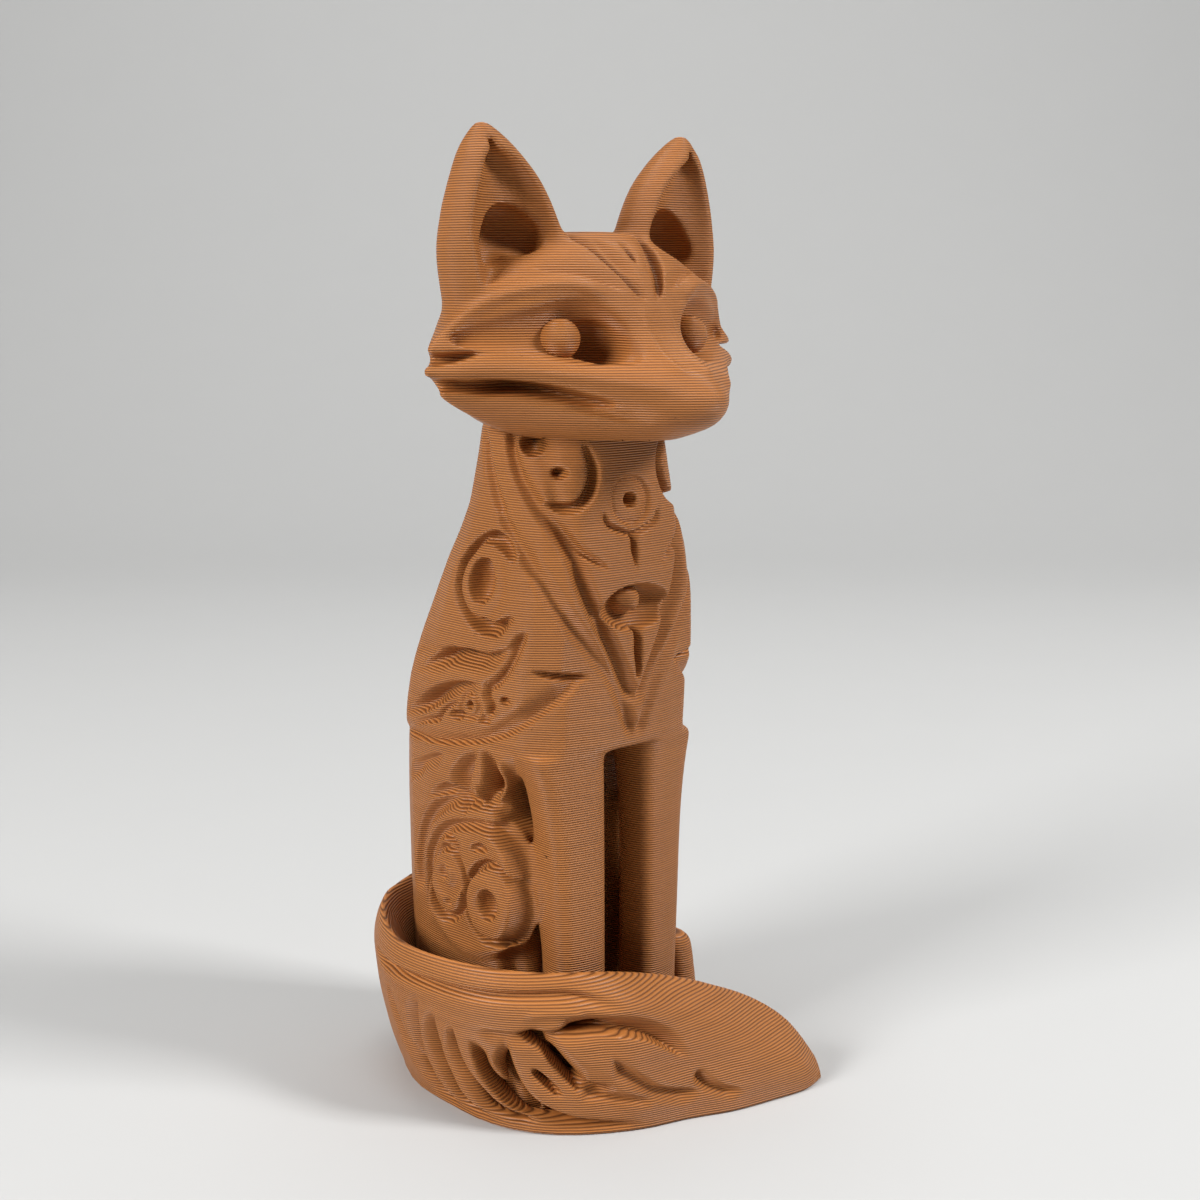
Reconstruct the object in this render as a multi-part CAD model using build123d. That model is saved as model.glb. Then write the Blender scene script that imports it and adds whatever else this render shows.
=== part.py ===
"""A sitting fox figurine with its brush wrapped round its feet.

Frame: the floor is z = 0, the fox looks along -Y, +X is its left side and +Z is up.
The origin is on the underside, in the fox's mirror plane, below the middle of the body.
All sizes are in millimetres. A share is a part of the size that it follows.
"""

from build123d import *
from math import cos, radians, sin
import os

# Body and coat
BODY_WIDTH = 20.3           # across the flanks
BODY_HEIGHT = 58.5          # floor to the top of the neck, inside the jaw
CHEST_REACH = 12.5          # chest in front of the origin
BACK_REACH = 11.5           # rump behind the origin
COAT_STEP = 0.45            # how far bib and mantle stand over the body round them
CARVE_DEPTH = 0.6           # grooves in the coat
CARVE_WIDTH = 0.7
CHEST_HEIGHT = 31.0         # underside of the chest between the legs
BELLY_HEIGHT = 27.5         # where the belly turns into the chest
BELLY_REACH = 5.0           # belly in front of the origin

# Bib
BIB_WIDTH = 17.0
BIB_TIP_HEIGHT = 31.8
BIB_BACK = 4.5              # rear edge of the bib in front of the origin
BIB_RING_RADIUS = 1.9
BIB_RING_HEIGHT = 52.0
BIB_RING_HOLE = 0.55
BIB_GEM_WIDTH = 7.2
BIB_GEM_HEIGHT = 3.2
BIB_GEM_LEVEL = 43.0
BIB_STEM = 3.0
BIB_BAND = 1.7              # plain border between the bib's edge and its groove
BIB_BAND_RISE = 2.4         # the same border, upright, at the tip

# Mantle over the shoulders
MANTLE_THICKNESS = 1.8
MANTLE_FRONT_HEIGHT = 38.0  # hem at the chest
MANTLE_SIDE_HEIGHT = 30.5   # hem on the flank
MANTLE_BACK_HEIGHT = 30.3
MANTLE_BACK_REACH = 8.6     # rear edge of the panel behind the origin
SCROLL_RADIUS = 3.2
SCROLL_HOLE = 1.2
SCROLL_HEIGHT = 45.0
SCROLL_REACH = 3.6          # scroll centre in front of the origin
STROKE_WIDTH = 1.1
STROKE_LENGTH = 11.0
STROKE_PITCH = 3.2
STROKE_TOP = 38.0
STROKE_COUNT = 3
STROKE_TURN = 10            # degrees that each stroke drops behind the one above

# Forelegs
LEG_WIDTH = 5.3             # half way up
LEG_DEPTH = 4.3
LEG_SPREAD = 4.6            # middle of the leg from the mirror plane
LEG_CENTRE = 9.3            # middle of the leg in front of the origin
LEG_TURN = 11.5             # degrees that the front face is turned outward
LEG_TAPER = 0.9             # how much narrower the leg is at the floor
LEG_FLARE = 1.7             # how far the top spreads into the chest

# Haunches and hind feet
HAUNCH_RADIUS = 6.9
HAUNCH_HEIGHT = 18.6        # middle of the round thigh
HAUNCH_CENTRE = 1.8         # thigh centre in front of the origin
HAUNCH_FACE = 10.6          # outer face from the mirror plane
HAUNCH_THICKNESS = 5.6
HAUNCH_ROUNDING = 1.9
HAUNCH_RIM = 1.5
HAUNCH_HOLLOW = 0.6
SHANK_DEPTH = 9.0           # folded leg between thigh and foot
MEDALLION_RADIUS = 2.7
MEDALLION_REACH = 2.3       # front medallion in front of the thigh centre
MEDALLION_DROP = 1.2
SMALL_MEDALLION_RADIUS = 2.1
SMALL_MEDALLION_REACH = -2.6
SMALL_MEDALLION_DROP = -0.3
MEDALLION_HOLE = 0.8
FOOT_WIDTH = 4.8
FOOT_LENGTH = 15.0
FOOT_REACH = 10.9
FOOT_CENTRE = 8.9           # middle of the foot from the mirror plane
KNEE_HEIGHT = 14.0
LIMB_GAP = 0.45             # open line between a foreleg and the hind limb

# Brush
BRUSH_HEIGHT = 17.5
BRUSH_SPREAD = 6.0          # widest from its inner line to its outer wall
BRUSH_BULGE = 1.0
FLUTE_LENGTH = 9.0
FLUTE_WIDTH = 2.2
FLUTE_TILT = 22             # degrees that a flute's floor sinks from its lower to its upper edge

# Head
HEAD_WIDTH = 35.4           # cheek tuft to cheek tuft
HEAD_BOTTOM = 57.2
HEAD_TOP = 73.9
CHEEK_LINE = 6.7            # cheek tips in front of the origin
MUZZLE_LENGTH = 15.0        # nose tip in front of the cheek tips
SKULL_DEPTH = 10.3          # back of the head behind the cheek tips
MOUTH_HEIGHT = 61.9         # mouth corner, at the cheeks
MOUTH_DROP = 2.7            # how much lower the mouth is at the nose
MOUTH_GAP = 0.7
MOUTH_DEPTH = 1.8
TUFT_NOTCH_HEIGHT = 63.9    # between the upper tuft of the cheek and the one on the lip
TUFT_NOTCH_DEPTH = 4.2
TUFT_NOTCH_WIDTH = 0.9

# Eyes
EYE_RADIUS = 1.72
EYE_SPREAD = 7.4
EYE_REACH = 10.9
EYE_HEIGHT = 65.4
SOCKET_LENGTH = 11.6
SOCKET_HEIGHT = 5.8
SOCKET_DEPTH = 3.2
SOCKET_TURN = 36            # degrees that the socket follows the cheek round

# Ears
EAR_TIP_HEIGHT = 82.2
EAR_ROOT_HEIGHT = 66.8
EAR_WIDTH = 12.1
EAR_THICKNESS = 6.8
EAR_SPREAD = 11.3           # tip from the mirror plane
EAR_REACH = 6.2
EAR_TURN = 6                # degrees that the opening faces outward
EAR_WALL = 1.2
EAR_HOLLOW_HEIGHT = 70.5
EAR_POINT = 0.3             # half thickness of the tip

OVERRUN = 1.0               # how far a cutter passes what it cuts

# Facets of each quarter of an outline, and steps between two rows of each form's table
CORNER_FACETS = 5
WALL_FACETS = 3
EDGE_FACETS = 8
EGG_STEPS = 10
ROUNDING_FACETS = 3
TRUNK_STEPS = 2
LEG_STEPS = 2
FOOT_STEPS = 2
BRUSH_STEPS = 3
HEAD_STEPS = 2
EAR_STEPS = 2

HALF_BODY = BODY_WIDTH / 2
HALF_HEAD = HEAD_WIDTH / 2
oval_shares = (0, 0.55, 0.55)


# Outlines

def level(half_width, middle, front, back, front_shares, back_shares, height):
    """A closed level outline, symmetric about the mirror plane, of four faceted curves.

    The shares of each half say how far the side bends in, how far it runs along
    and how wide the end is.
    """
    def corner(wide, end, shares):
        pull, along, across = shares
        curve = Bezier(
            (wide, middle),
            (wide * (1 - pull), middle + (end - middle) * along),
            (wide * across, end),
            (0, end),
        )
        return points_on(curve, CORNER_FACETS)

    right_front = corner(-half_width, front, front_shares)
    left_front = corner(half_width, front, front_shares)
    left_back = corner(half_width, back, back_shares)
    right_back = corner(-half_width, back, back_shares)
    points = right_front[:-1] + left_front[:0:-1] + left_back[:-1] + right_back[:0:-1]
    return Pos(0, 0, height) * make_face(Polyline(*points, close=True)).face()


def finer(rows, steps):
    """Rows of shares with smooth ones put between them, so that a form has no bends."""
    fine = []
    last = len(rows) - 1
    for start in range(last):
        around = [rows[min(max(start + k, 0), last)] for k in (-1, 0, 1, 2)]
        for step in range(steps):
            t = step / steps
            weights = (
                (-t + 2 * t * t - t * t * t) / 2,
                (2 - 5 * t * t + 3 * t * t * t) / 2,
                (t + 4 * t * t - 3 * t * t * t) / 2,
                (t * t * t - t * t) / 2,
            )
            fine.append([sum(w * row[k] for w, row in zip(weights, around)) for k in range(len(rows[0]))])
    fine.append(list(rows[last]))
    return fine


def points_on(curve, facets):
    """Points along a curve, from its start to its end."""
    return [curve @ (step / facets) for step in range(facets + 1)]


def stack(levels):
    """A solid through outlines that all have the same number of curves."""
    return loft(levels, ruled=True)


def egg(half_width, half_depth, half_height):
    """A faceted egg round the origin."""
    levels = []
    for step in range(1, EGG_STEPS):
        turn = radians(180 * step / EGG_STEPS - 90)
        levels.append(level(half_width * cos(turn), 0, -half_depth * cos(turn), half_depth * cos(turn),
                            oval_shares, oval_shares, half_height * sin(turn)))
    return stack(levels)


def in_front(face, near, far):
    """A front view outline as a bar between two distances in front of the origin."""
    return Pos(0, -near, 0) * extrude(Plane.XZ * face, far - near)


def beside(face, near, far):
    """A side view outline as a bar between two distances left of the mirror plane."""
    return Pos(near, 0, 0) * extrude(Plane.YZ * face, far - near)


def ring(radius, width):
    """A flat ring whose width lies inside its radius."""
    return Circle(radius) - Circle(radius - width)


def on_both_sides(piece):
    return piece, mirror(piece, about=Plane.YZ)


# Trunk

# height, half width, chest and back, as shares of the body's own sizes, then how
# full the corners are in front and behind
torso_shares = [
    (0.00, 0.93, 0.90, 0.957, 0.80, 0.74),
    (0.17, 0.98, 0.96, 1.040, 0.82, 0.76),
    (0.42, 1.00, 1.00, 1.060, 0.84, 0.78),
    (0.57, 1.03, 1.02, 1.000, 0.86, 0.76),
    (0.65, 1.04, 1.02, 0.860, 0.87, 0.72),
    (0.725, 1.03, 1.01, 0.640, 0.87, 0.70),
    (0.80, 0.95, 0.99, 0.480, 0.86, 0.68),
    (0.877, 0.82, 0.95, 0.330, 0.84, 0.66),
    (1.00, 0.70, 0.90, 0.260, 0.80, 0.64),
]


def body_form(inset):
    """The whole trunk with the coat on it, drawn in by the inset."""
    levels = []
    for height, width, chest, back, fore, aft in finer(torso_shares, TRUNK_STEPS):
        front = -CHEST_REACH * chest + inset
        rear = BACK_REACH * back - inset
        middle = (front + rear) / 2
        half_width = HALF_BODY * width - inset
        levels.append(level(
            half_width, middle, front, rear, (0, fore, fore), (0, aft, aft), BODY_HEIGHT * height))
    return stack(levels)


def belly_space():
    """The open space under the chest, in front of the belly."""
    front = -CHEST_REACH - OVERRUN
    leg_back = LEG_DEPTH / 2 - LEG_CENTRE
    outline = Polyline(
        (front, -OVERRUN),
        (-BELLY_REACH, -OVERRUN),
        (-BELLY_REACH, BELLY_HEIGHT),
        (leg_back, CHEST_HEIGHT),
        (front, CHEST_HEIGHT),
        close=True,
    )
    reach = HALF_BODY + OVERRUN
    return beside(make_face(outline), -reach, reach)


bib_shares = [(1.0, 1.0), (1.0, 0.62), (0.82, 0.40), (0.50, 0.22), (0.22, 0.09)]


def bib_outline(inset, lift):
    """The pointed bib, seen from the front, drawn in at its sides and lifted at its tip."""
    tip_height = BIB_TIP_HEIGHT + lift
    rise = BODY_HEIGHT + OVERRUN - tip_height
    half = BIB_WIDTH / 2 - inset
    points = [(half * across, tip_height + rise * up) for across, up in bib_shares]
    tip = (0, tip_height)
    left = points_on(Spline(*points, tip), EDGE_FACETS)
    right = [(-point.X, point.Y) for point in left]
    return make_face(Polyline(*left, *right[-2::-1], close=True))


# how steeply the hem falls at the chest
hem_fall_share = -0.5


def mantle_outline():
    """A shoulder panel, seen from the side, with its hem sweeping up to the chest."""
    front = -CHEST_REACH - OVERRUN
    top = BODY_HEIGHT + OVERRUN
    nape = BACK_REACH * torso_shares[-1][3] - MANTLE_THICKNESS
    hem = Spline(
        (front, MANTLE_FRONT_HEIGHT),
        (0, MANTLE_SIDE_HEIGHT),
        (MANTLE_BACK_REACH, MANTLE_BACK_HEIGHT),
        tangents=((1, hem_fall_share), (1, 0)),
    )
    rear = Spline(
        (MANTLE_BACK_REACH, MANTLE_BACK_HEIGHT),
        ((MANTLE_BACK_REACH + nape) / 2, SCROLL_HEIGHT),
        (nape, top),
    )
    edge = points_on(hem, EDGE_FACETS) + points_on(rear, EDGE_FACETS)[1:]
    return make_face(Polyline(*edge, (front, top), close=True))


def lean_plane(low, high):
    """A plane across the view, through an x at the mantle's hem and one at the neck top."""
    rise = BODY_HEIGHT - MANTLE_SIDE_HEIGHT
    return Plane(
        origin=(low, 0, MANTLE_SIDE_HEIGHT),
        x_dir=(0, 1, 0),
        z_dir=(rise, 0, low - high),
    )


def make_trunk():
    """Torso, bib and the two mantle panels, seated on each other."""
    full = body_form(0)
    neck_half = HALF_BODY * torso_shares[-1][1]
    below_carving = body_form(CARVE_DEPTH)
    bib_bar = in_front(bib_outline(0, 0), BIB_BACK, CHEST_REACH + OVERRUN)
    side_bar = beside(mantle_outline(), 0, HALF_BODY + OVERRUN)
    bed = lean_plane(HALF_BODY - MANTLE_THICKNESS, neck_half - MANTLE_THICKNESS)
    side_bar = split(side_bar, bisect_by=bed, keep=Keep.TOP)
    side_bar = side_bar - bib_bar - belly_space()
    bib = full & bib_bar
    bib = bib - (bib_carving() - below_carving)
    mantle = full & side_bar
    mantle = mantle - (mantle_carving() - below_carving)
    left_mantle, right_mantle = on_both_sides(mantle)
    left_bar, right_bar = on_both_sides(side_bar)
    torso = body_form(COAT_STEP) - bib_bar - left_bar - right_bar - belly_space()
    return torso, bib, left_mantle, right_mantle


def bib_carving():
    """Border groove, ring, stem, gem and slot of the bib, as bars from the front."""
    inner_edge = bib_outline(BIB_BAND + CARVE_WIDTH, BIB_BAND_RISE + CARVE_WIDTH)
    border = bib_outline(BIB_BAND, BIB_BAND_RISE) - inner_edge
    eye = Pos(0, BIB_RING_HEIGHT) * (ring(BIB_RING_RADIUS, CARVE_WIDTH) + Circle(BIB_RING_HOLE))
    stem_top = BIB_RING_HEIGHT - BIB_RING_RADIUS + CARVE_WIDTH / 2
    stem = Pos(0, stem_top - BIB_STEM / 2) * Rectangle(CARVE_WIDTH, BIB_STEM)
    half = BIB_GEM_WIDTH / 2
    lid = BIB_GEM_HEIGHT / 2
    upper = ThreePointArc((-half, 0), (0, lid), (half, 0))
    lower = ThreePointArc((half, 0), (0, -lid), (-half, 0))
    gem = Pos(0, BIB_GEM_LEVEL) * (make_face([upper, lower]) - Circle(lid - CARVE_WIDTH))
    slot_top = BIB_GEM_LEVEL - lid + CARVE_WIDTH / 2
    slot = Pos(0, slot_top - BIB_STEM / 2) * Rectangle(CARVE_WIDTH, BIB_STEM)
    return in_front(border + eye + stem + gem + slot, BIB_BACK, CHEST_REACH + OVERRUN)


# where a stroke is broadest along its length, and how far its lower edge bows up
stroke_shares = (0.33, 0.25)


def stroke(length, width):
    """A leaf-shaped stroke that starts broad and runs out to a point."""
    along, bow = stroke_shares
    crown = ThreePointArc((0, 0), (length * along, width), (length, 0))
    root = ThreePointArc((length, 0), (length * along, width * bow), (0, 0))
    return make_face([crown, root])


def mantle_carving():
    """Scroll ring and leaf strokes of the shoulder, as bars from the side."""
    faces = Pos(-SCROLL_REACH, SCROLL_HEIGHT) * (ring(SCROLL_RADIUS, CARVE_WIDTH) + Circle(SCROLL_HOLE))
    for number in range(STROKE_COUNT):
        place = Pos(-BELLY_REACH, STROKE_TOP - STROKE_PITCH * number)
        faces = faces + place * Rot(0, 0, -STROKE_TURN * number) * stroke(STROKE_LENGTH, STROKE_WIDTH)
    return beside(faces, 0, HALF_BODY + OVERRUN)


# Forelegs

# height as a share of the chest height, then taper and flare as shares of their sizes
leg_shares = [
    (0.00, 1.0, 0.00),
    (0.50, 0.0, 0.00),
    (0.75, -0.4, 0.06),
    (0.88, -0.7, 0.28),
    (0.96, -0.8, 0.65),
    (1.00, -0.8, 1.00),
]
leg_corner_shares = (0, 0.86, 0.86)


def leg_place():
    return Pos(LEG_SPREAD, -LEG_CENTRE, 0) * Rot(0, 0, LEG_TURN)


def make_foreleg():
    """A squared leg, turned a little outward, that spreads into the chest at its top."""
    levels = []
    for height, taper, flare in finer(leg_shares, LEG_STEPS):
        width = LEG_WIDTH - LEG_TAPER * taper + LEG_FLARE * flare
        shift = (width - LEG_WIDTH) / 2
        back = LEG_DEPTH / 2 + LEG_FLARE * flare
        front = -LEG_DEPTH / 2
        outline = level(width / 2, 0, front, back, leg_corner_shares, leg_corner_shares, CHEST_HEIGHT * height)
        levels.append(leg_place() * Pos(shift, 0, 0) * outline)
    return stack(levels)


def leg_room():
    """The space inside the outer face of a foreleg, which the hind limb keeps clear of."""
    half = LEG_WIDTH / 2 + LIMB_GAP
    room = Box(2 * LEG_SPREAD, LEG_DEPTH + 2 * LIMB_GAP, 2 * BELLY_HEIGHT)
    return leg_place() * Pos(half - LEG_SPREAD, 0, 0) * room


# Haunches and hind feet

def disc_level(radius, out):
    """A round outline across the thigh's axis, at a distance left of the mirror plane."""
    outline = level(radius, 0, -radius, radius, oval_shares, oval_shares, 0)
    return Plane.YZ * Pos(-HAUNCH_CENTRE, HAUNCH_HEIGHT, out) * outline


def make_haunch(others):
    """The round thigh with its rolled rim, its sunk face and its two ring medallions."""
    inner = HAUNCH_FACE - HAUNCH_THICKNESS
    shoulder = HAUNCH_FACE - HAUNCH_ROUNDING
    centre = Pos(-HAUNCH_CENTRE, HAUNCH_HEIGHT)
    levels = [disc_level(HAUNCH_RADIUS, inner)]
    for step in range(ROUNDING_FACETS + 1):
        turn = radians(90 * step / ROUNDING_FACETS)
        radius = HAUNCH_RADIUS - HAUNCH_ROUNDING * (1 - cos(turn))
        levels.append(disc_level(radius, shoulder + HAUNCH_ROUNDING * sin(turn)))
    shank = Pos(-HAUNCH_CENTRE, HAUNCH_HEIGHT / 2) * Rectangle(SHANK_DEPTH, HAUNCH_HEIGHT)
    thigh = stack(levels) + beside(shank, inner, shoulder)
    sunk_floor = HAUNCH_FACE - HAUNCH_HOLLOW
    sunk = beside(centre * Circle(HAUNCH_RADIUS - HAUNCH_RIM), sunk_floor, HAUNCH_FACE + OVERRUN)
    big = centre * Pos(-MEDALLION_REACH, -MEDALLION_DROP)
    small = centre * Pos(-SMALL_MEDALLION_REACH, -SMALL_MEDALLION_DROP)
    rings = big * ring(MEDALLION_RADIUS, MEDALLION_RADIUS - MEDALLION_HOLE)
    rings = rings + small * ring(SMALL_MEDALLION_RADIUS, SMALL_MEDALLION_RADIUS - MEDALLION_HOLE)
    haunch = thigh - sunk + beside(rings, sunk_floor, HAUNCH_FACE)
    for other in others:
        haunch = haunch - other
    return haunch


# height, width, front and back, as shares of the foot's own sizes
foot_shares = [
    (0.00, 0.96, 0.98, 1.00),
    (0.16, 1.00, 1.00, 1.00),
    (0.40, 0.96, 0.99, 0.40),
    (0.70, 0.84, 0.93, -0.60),
    (0.90, 0.70, 0.84, -1.20),
    (1.00, 0.45, 0.74, -1.50),
]


def make_hind_foot(others):
    """The long hind foot beside the foreleg, rising to the bent knee."""
    heel = FOOT_LENGTH - FOOT_REACH
    round_shares = (0, 0.70, 0.70)
    levels = []
    for height, width, front, back in finer(foot_shares, FOOT_STEPS):
        toe_line = -FOOT_REACH * front
        heel_line = heel * back
        outline = level(FOOT_WIDTH / 2 * width, (toe_line + heel_line) / 2, toe_line, heel_line,
                        round_shares, round_shares, KNEE_HEIGHT * height)
        levels.append(Pos(FOOT_CENTRE, 0, 0) * outline)
    foot = stack(levels)
    for other in others:
        foot = foot - other
    return foot


# Brush

# Stations round the feet, from the rump to the tip: the inner line's place as shares of
# the half body and the chest, the way outward in degrees, then outward shares of the
# inner toe, floor line, crease and rim, and height shares of the crease and the rim.
brush_shares = [
    (0.22, 0.86, 70, -0.60, 0.40, 0.72, 0.52, 0.72, 1.00),
    (-0.62, 0.72, 125, -0.60, 0.28, 0.70, 0.58, 0.69, 0.96),
    (-1.03, 0.24, 165, -0.55, 0.30, 0.73, 0.60, 0.65, 0.89),
    (-1.03, -0.20, 185, -0.50, 0.48, 0.86, 0.60, 0.64, 0.85),
    (-0.93, -0.56, 205, -0.50, 0.70, 0.90, 0.46, 0.65, 0.82),
    (-0.67, -0.76, 228, -0.50, 0.97, 0.90, 0.46, 0.65, 0.80),
    (-0.31, -0.88, 250, -0.50, 1.18, 1.10, 0.38, 0.61, 0.75),
    (0.10, -0.92, 258, -0.50, 1.33, 1.10, 0.38, 0.53, 0.68),
    (0.52, -1.04, 256, -0.50, 1.37, 1.03, 0.42, 0.42, 0.61),
    (0.98, -1.16, 252, -0.50, 1.30, 1.08, 0.38, 0.26, 0.47),
    (1.31, -1.38, 248, -0.30, 0.94, 0.86, 0.26, 0.13, 0.31),
    (1.46, -1.61, 243, -0.10, 0.32, 0.28, 0.16, 0.05, 0.10),
]


# sections whose crease lies lower than this share of the height bulge less
full_bulge_share = 0.5


def brush_place(shares):
    """The upright plane of a section, with its X axis outward, and the section's outer wall."""
    east, north, turn, toe, floor, crease, rim, crease_up, rim_up = shares
    outward = (cos(radians(turn)), sin(radians(turn)), 0)
    plane = Plane(
        origin=(HALF_BODY * east, CHEST_REACH * north, 0),
        x_dir=outward,
        z_dir=(outward[1], -outward[0], 0),
    )
    floor_point = (BRUSH_SPREAD * floor, 0)
    crease_point = (BRUSH_SPREAD * crease, BRUSH_HEIGHT * crease_up)
    bulge = BRUSH_BULGE * min(1, crease_up / full_bulge_share)
    chord_middle = (floor_point[0] + crease_point[0]) / 2
    belly = (max(floor_point[0], chord_middle) + bulge, crease_point[1] / 2)
    return plane, Bezier(floor_point, belly, crease_point)


def brush_section(shares):
    """One upright cross section: floor, bulging outer wall, sloping shoulder, inner slope."""
    toe, rim, rim_up = shares[3], shares[6], shares[8]
    plane, wall = brush_place(shares)
    toe_point = (BRUSH_SPREAD * toe, 0)
    rim_point = (BRUSH_SPREAD * rim, BRUSH_HEIGHT * rim_up)
    outline = Polyline(*points_on(wall, WALL_FACETS), rim_point, toe_point, close=True)
    return plane * make_face(outline).face()


# Flutes of the outer wall: the middle's place on the way round from the rump to the tip and
# on the way up the wall, and the length, as shares, then the degrees of fall towards the tip
flute_shares = [
    (0.24, 0.52, 0.75, 86),
    (0.28, 0.52, 0.95, 78),
    (0.32, 0.48, 1.00, 68),
    (0.36, 0.44, 1.00, 58),
    (0.42, 0.40, 1.00, 50),
    (0.48, 0.27, 1.10, 34),
    (0.48, 0.66, 0.75, 42),
    (0.56, 0.66, 1.00, 20),
    (0.60, 0.36, 0.85, 26),
    (0.70, 0.36, 0.60, 28),
]


def flute(shares):
    """The cutter of one leaf-shaped flute, deepest along its upper edge."""
    way, up, long, fall = shares
    rows = finer(brush_shares, BRUSH_STEPS)
    plane, wall = brush_place(rows[round(way * (len(rows) - 1))])
    middle = wall @ up
    slope = wall % up
    face = Plane(
        origin=plane.from_local_coords((middle.X, middle.Y, 0)),
        x_dir=-plane.z_dir,
        z_dir=plane.x_dir * slope.Y - plane.y_dir * slope.X,
    )
    length = FLUTE_LENGTH * long
    leaf = Pos(-length / 2, 0) * stroke(length, FLUTE_WIDTH)
    return face * Rot(0, 0, -fall) * Rot(-FLUTE_TILT, 0, 0) * extrude(leaf, FLUTE_WIDTH)


def make_brush(others):
    """The brush as one sweep round the feet, seated against all that it wraps."""
    brush = stack([brush_section(shares) for shares in finer(brush_shares, BRUSH_STEPS)])
    for shares in flute_shares:
        brush = brush - flute(shares)
    for other in others:
        brush = brush - other
    return brush


# Head

# height from bottom to top, half width, muzzle and skull, as shares of the head's own
# sizes, then the bend of the outline in front and behind
head_shares = [
    (0.00, 0.36, 0.62, 0.72, 0.10, 0.40, 0.40, 0.00, 0.50, 0.50),
    (0.08, 0.62, 0.88, 0.90, 0.22, 0.36, 0.30, 0.10, 0.45, 0.45),
    (0.20, 0.88, 1.00, 0.97, 0.36, 0.30, 0.17, 0.25, 0.40, 0.40),
    (0.31, 1.00, 0.89, 1.00, 0.36, 0.30, 0.17, 0.25, 0.40, 0.45),
    (0.39, 1.00, 0.72, 1.00, 0.34, 0.32, 0.20, 0.25, 0.40, 0.45),
    (0.46, 0.98, 0.62, 1.00, 0.28, 0.34, 0.24, 0.20, 0.42, 0.48),
    (0.54, 0.89, 0.55, 1.00, 0.20, 0.38, 0.30, 0.12, 0.46, 0.52),
    (0.67, 0.75, 0.49, 0.96, 0.04, 0.50, 0.45, 0.00, 0.50, 0.55),
    (0.80, 0.61, 0.41, 0.86, 0.00, 0.55, 0.55, 0.00, 0.55, 0.55),
    (0.93, 0.38, 0.28, 0.64, 0.00, 0.55, 0.55, 0.00, 0.55, 0.55),
    (1.00, 0.15, 0.14, 0.40, 0.00, 0.55, 0.55, 0.00, 0.55, 0.55),
]


def head_form():
    """The whole head, from the chin to the crown, with its cheeks drawn out to points."""
    levels = []
    for row in finer(head_shares, HEAD_STEPS):
        height, width, muzzle, skull = row[:4]
        levels.append(level(
            HALF_HEAD * width,
            -CHEEK_LINE,
            -CHEEK_LINE - MUZZLE_LENGTH * muzzle,
            -CHEEK_LINE + SKULL_DEPTH * skull,
            row[4:7],
            row[7:10],
            HEAD_BOTTOM + (HEAD_TOP - HEAD_BOTTOM) * height,
        ))
    return stack(levels)


def mouth_plane():
    """The plane of the mouth, level across the cheeks and lower at the nose."""
    return Plane(
        origin=(0, -CHEEK_LINE, MOUTH_HEIGHT),
        x_dir=(1, 0, 0),
        z_dir=(0, -MOUTH_DROP, MUZZLE_LENGTH),
    )


# how far back and how narrow the lips run, as shares of the muzzle and of the half head
lip_shares = (0.60, 0.27, 0.14)


def mouth_slit():
    """The thin open slit between the lips, round the front of the head on the mouth plane."""
    half = HALF_HEAD - MOUTH_DEPTH
    muzzle = MUZZLE_LENGTH - MOUTH_DEPTH
    wide, back, narrow = lip_shares
    across = [(half, 0), (half * wide, -muzzle * back), (half * narrow, -muzzle), (0, -muzzle)]
    left = Bezier(*across)
    right = Bezier(*[(-x, y) for x, y in across])
    rear = Polyline((half, 0), (half, SKULL_DEPTH), (-half, SKULL_DEPTH), (-half, 0))
    core = make_face([left, right, rear])
    length = MUZZLE_LENGTH + 2 * OVERRUN
    field = Pos(0, -length / 2) * Rectangle(HEAD_WIDTH + 2 * OVERRUN, length)
    return extrude(mouth_plane() * (field - core), -MOUTH_GAP)


# height, then the reach to the cheek, the reach to the nose and the depth, as shares of
# the socket's own sizes: long and low at the cheek, high and steep beside the nose
socket_shares = [
    (-0.46, 0.34, 0.26, 0.30),
    (-0.34, 0.56, 0.40, 0.75),
    (-0.16, 0.64, 0.44, 0.95),
    (0.04, 0.48, 0.42, 1.00),
    (0.26, 0.32, 0.36, 0.88),
    (0.44, 0.16, 0.28, 0.62),
    (0.54, 0.04, 0.16, 0.30),
]


def socket():
    """The hollow that the left eye sits in."""
    levels = []
    for height, cheek, nose, depth in socket_shares:
        shift = SOCKET_LENGTH * (cheek - nose) / 2
        half_depth = SOCKET_DEPTH * depth
        outline = level(SOCKET_LENGTH * (cheek + nose) / 2, 0, -half_depth, half_depth,
                        oval_shares, oval_shares, SOCKET_HEIGHT * height)
        levels.append(Pos(shift, 0, 0) * outline)
    place = Pos(EYE_SPREAD, -EYE_REACH - EYE_RADIUS, EYE_HEIGHT)
    return place * Rot(0, 0, SOCKET_TURN) * stack(levels)


def tuft_notch():
    """The wedge between the two tufts of the left cheek."""
    edge = HALF_HEAD + OVERRUN
    half = TUFT_NOTCH_WIDTH / 2
    outline = Polyline(
        (HALF_HEAD - TUFT_NOTCH_DEPTH, TUFT_NOTCH_HEIGHT),
        (edge, TUFT_NOTCH_HEIGHT - half),
        (edge, TUFT_NOTCH_HEIGHT + half),
        close=True,
    )
    return in_front(make_face(outline), CHEEK_LINE - SKULL_DEPTH, CHEEK_LINE + SKULL_DEPTH)


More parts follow.
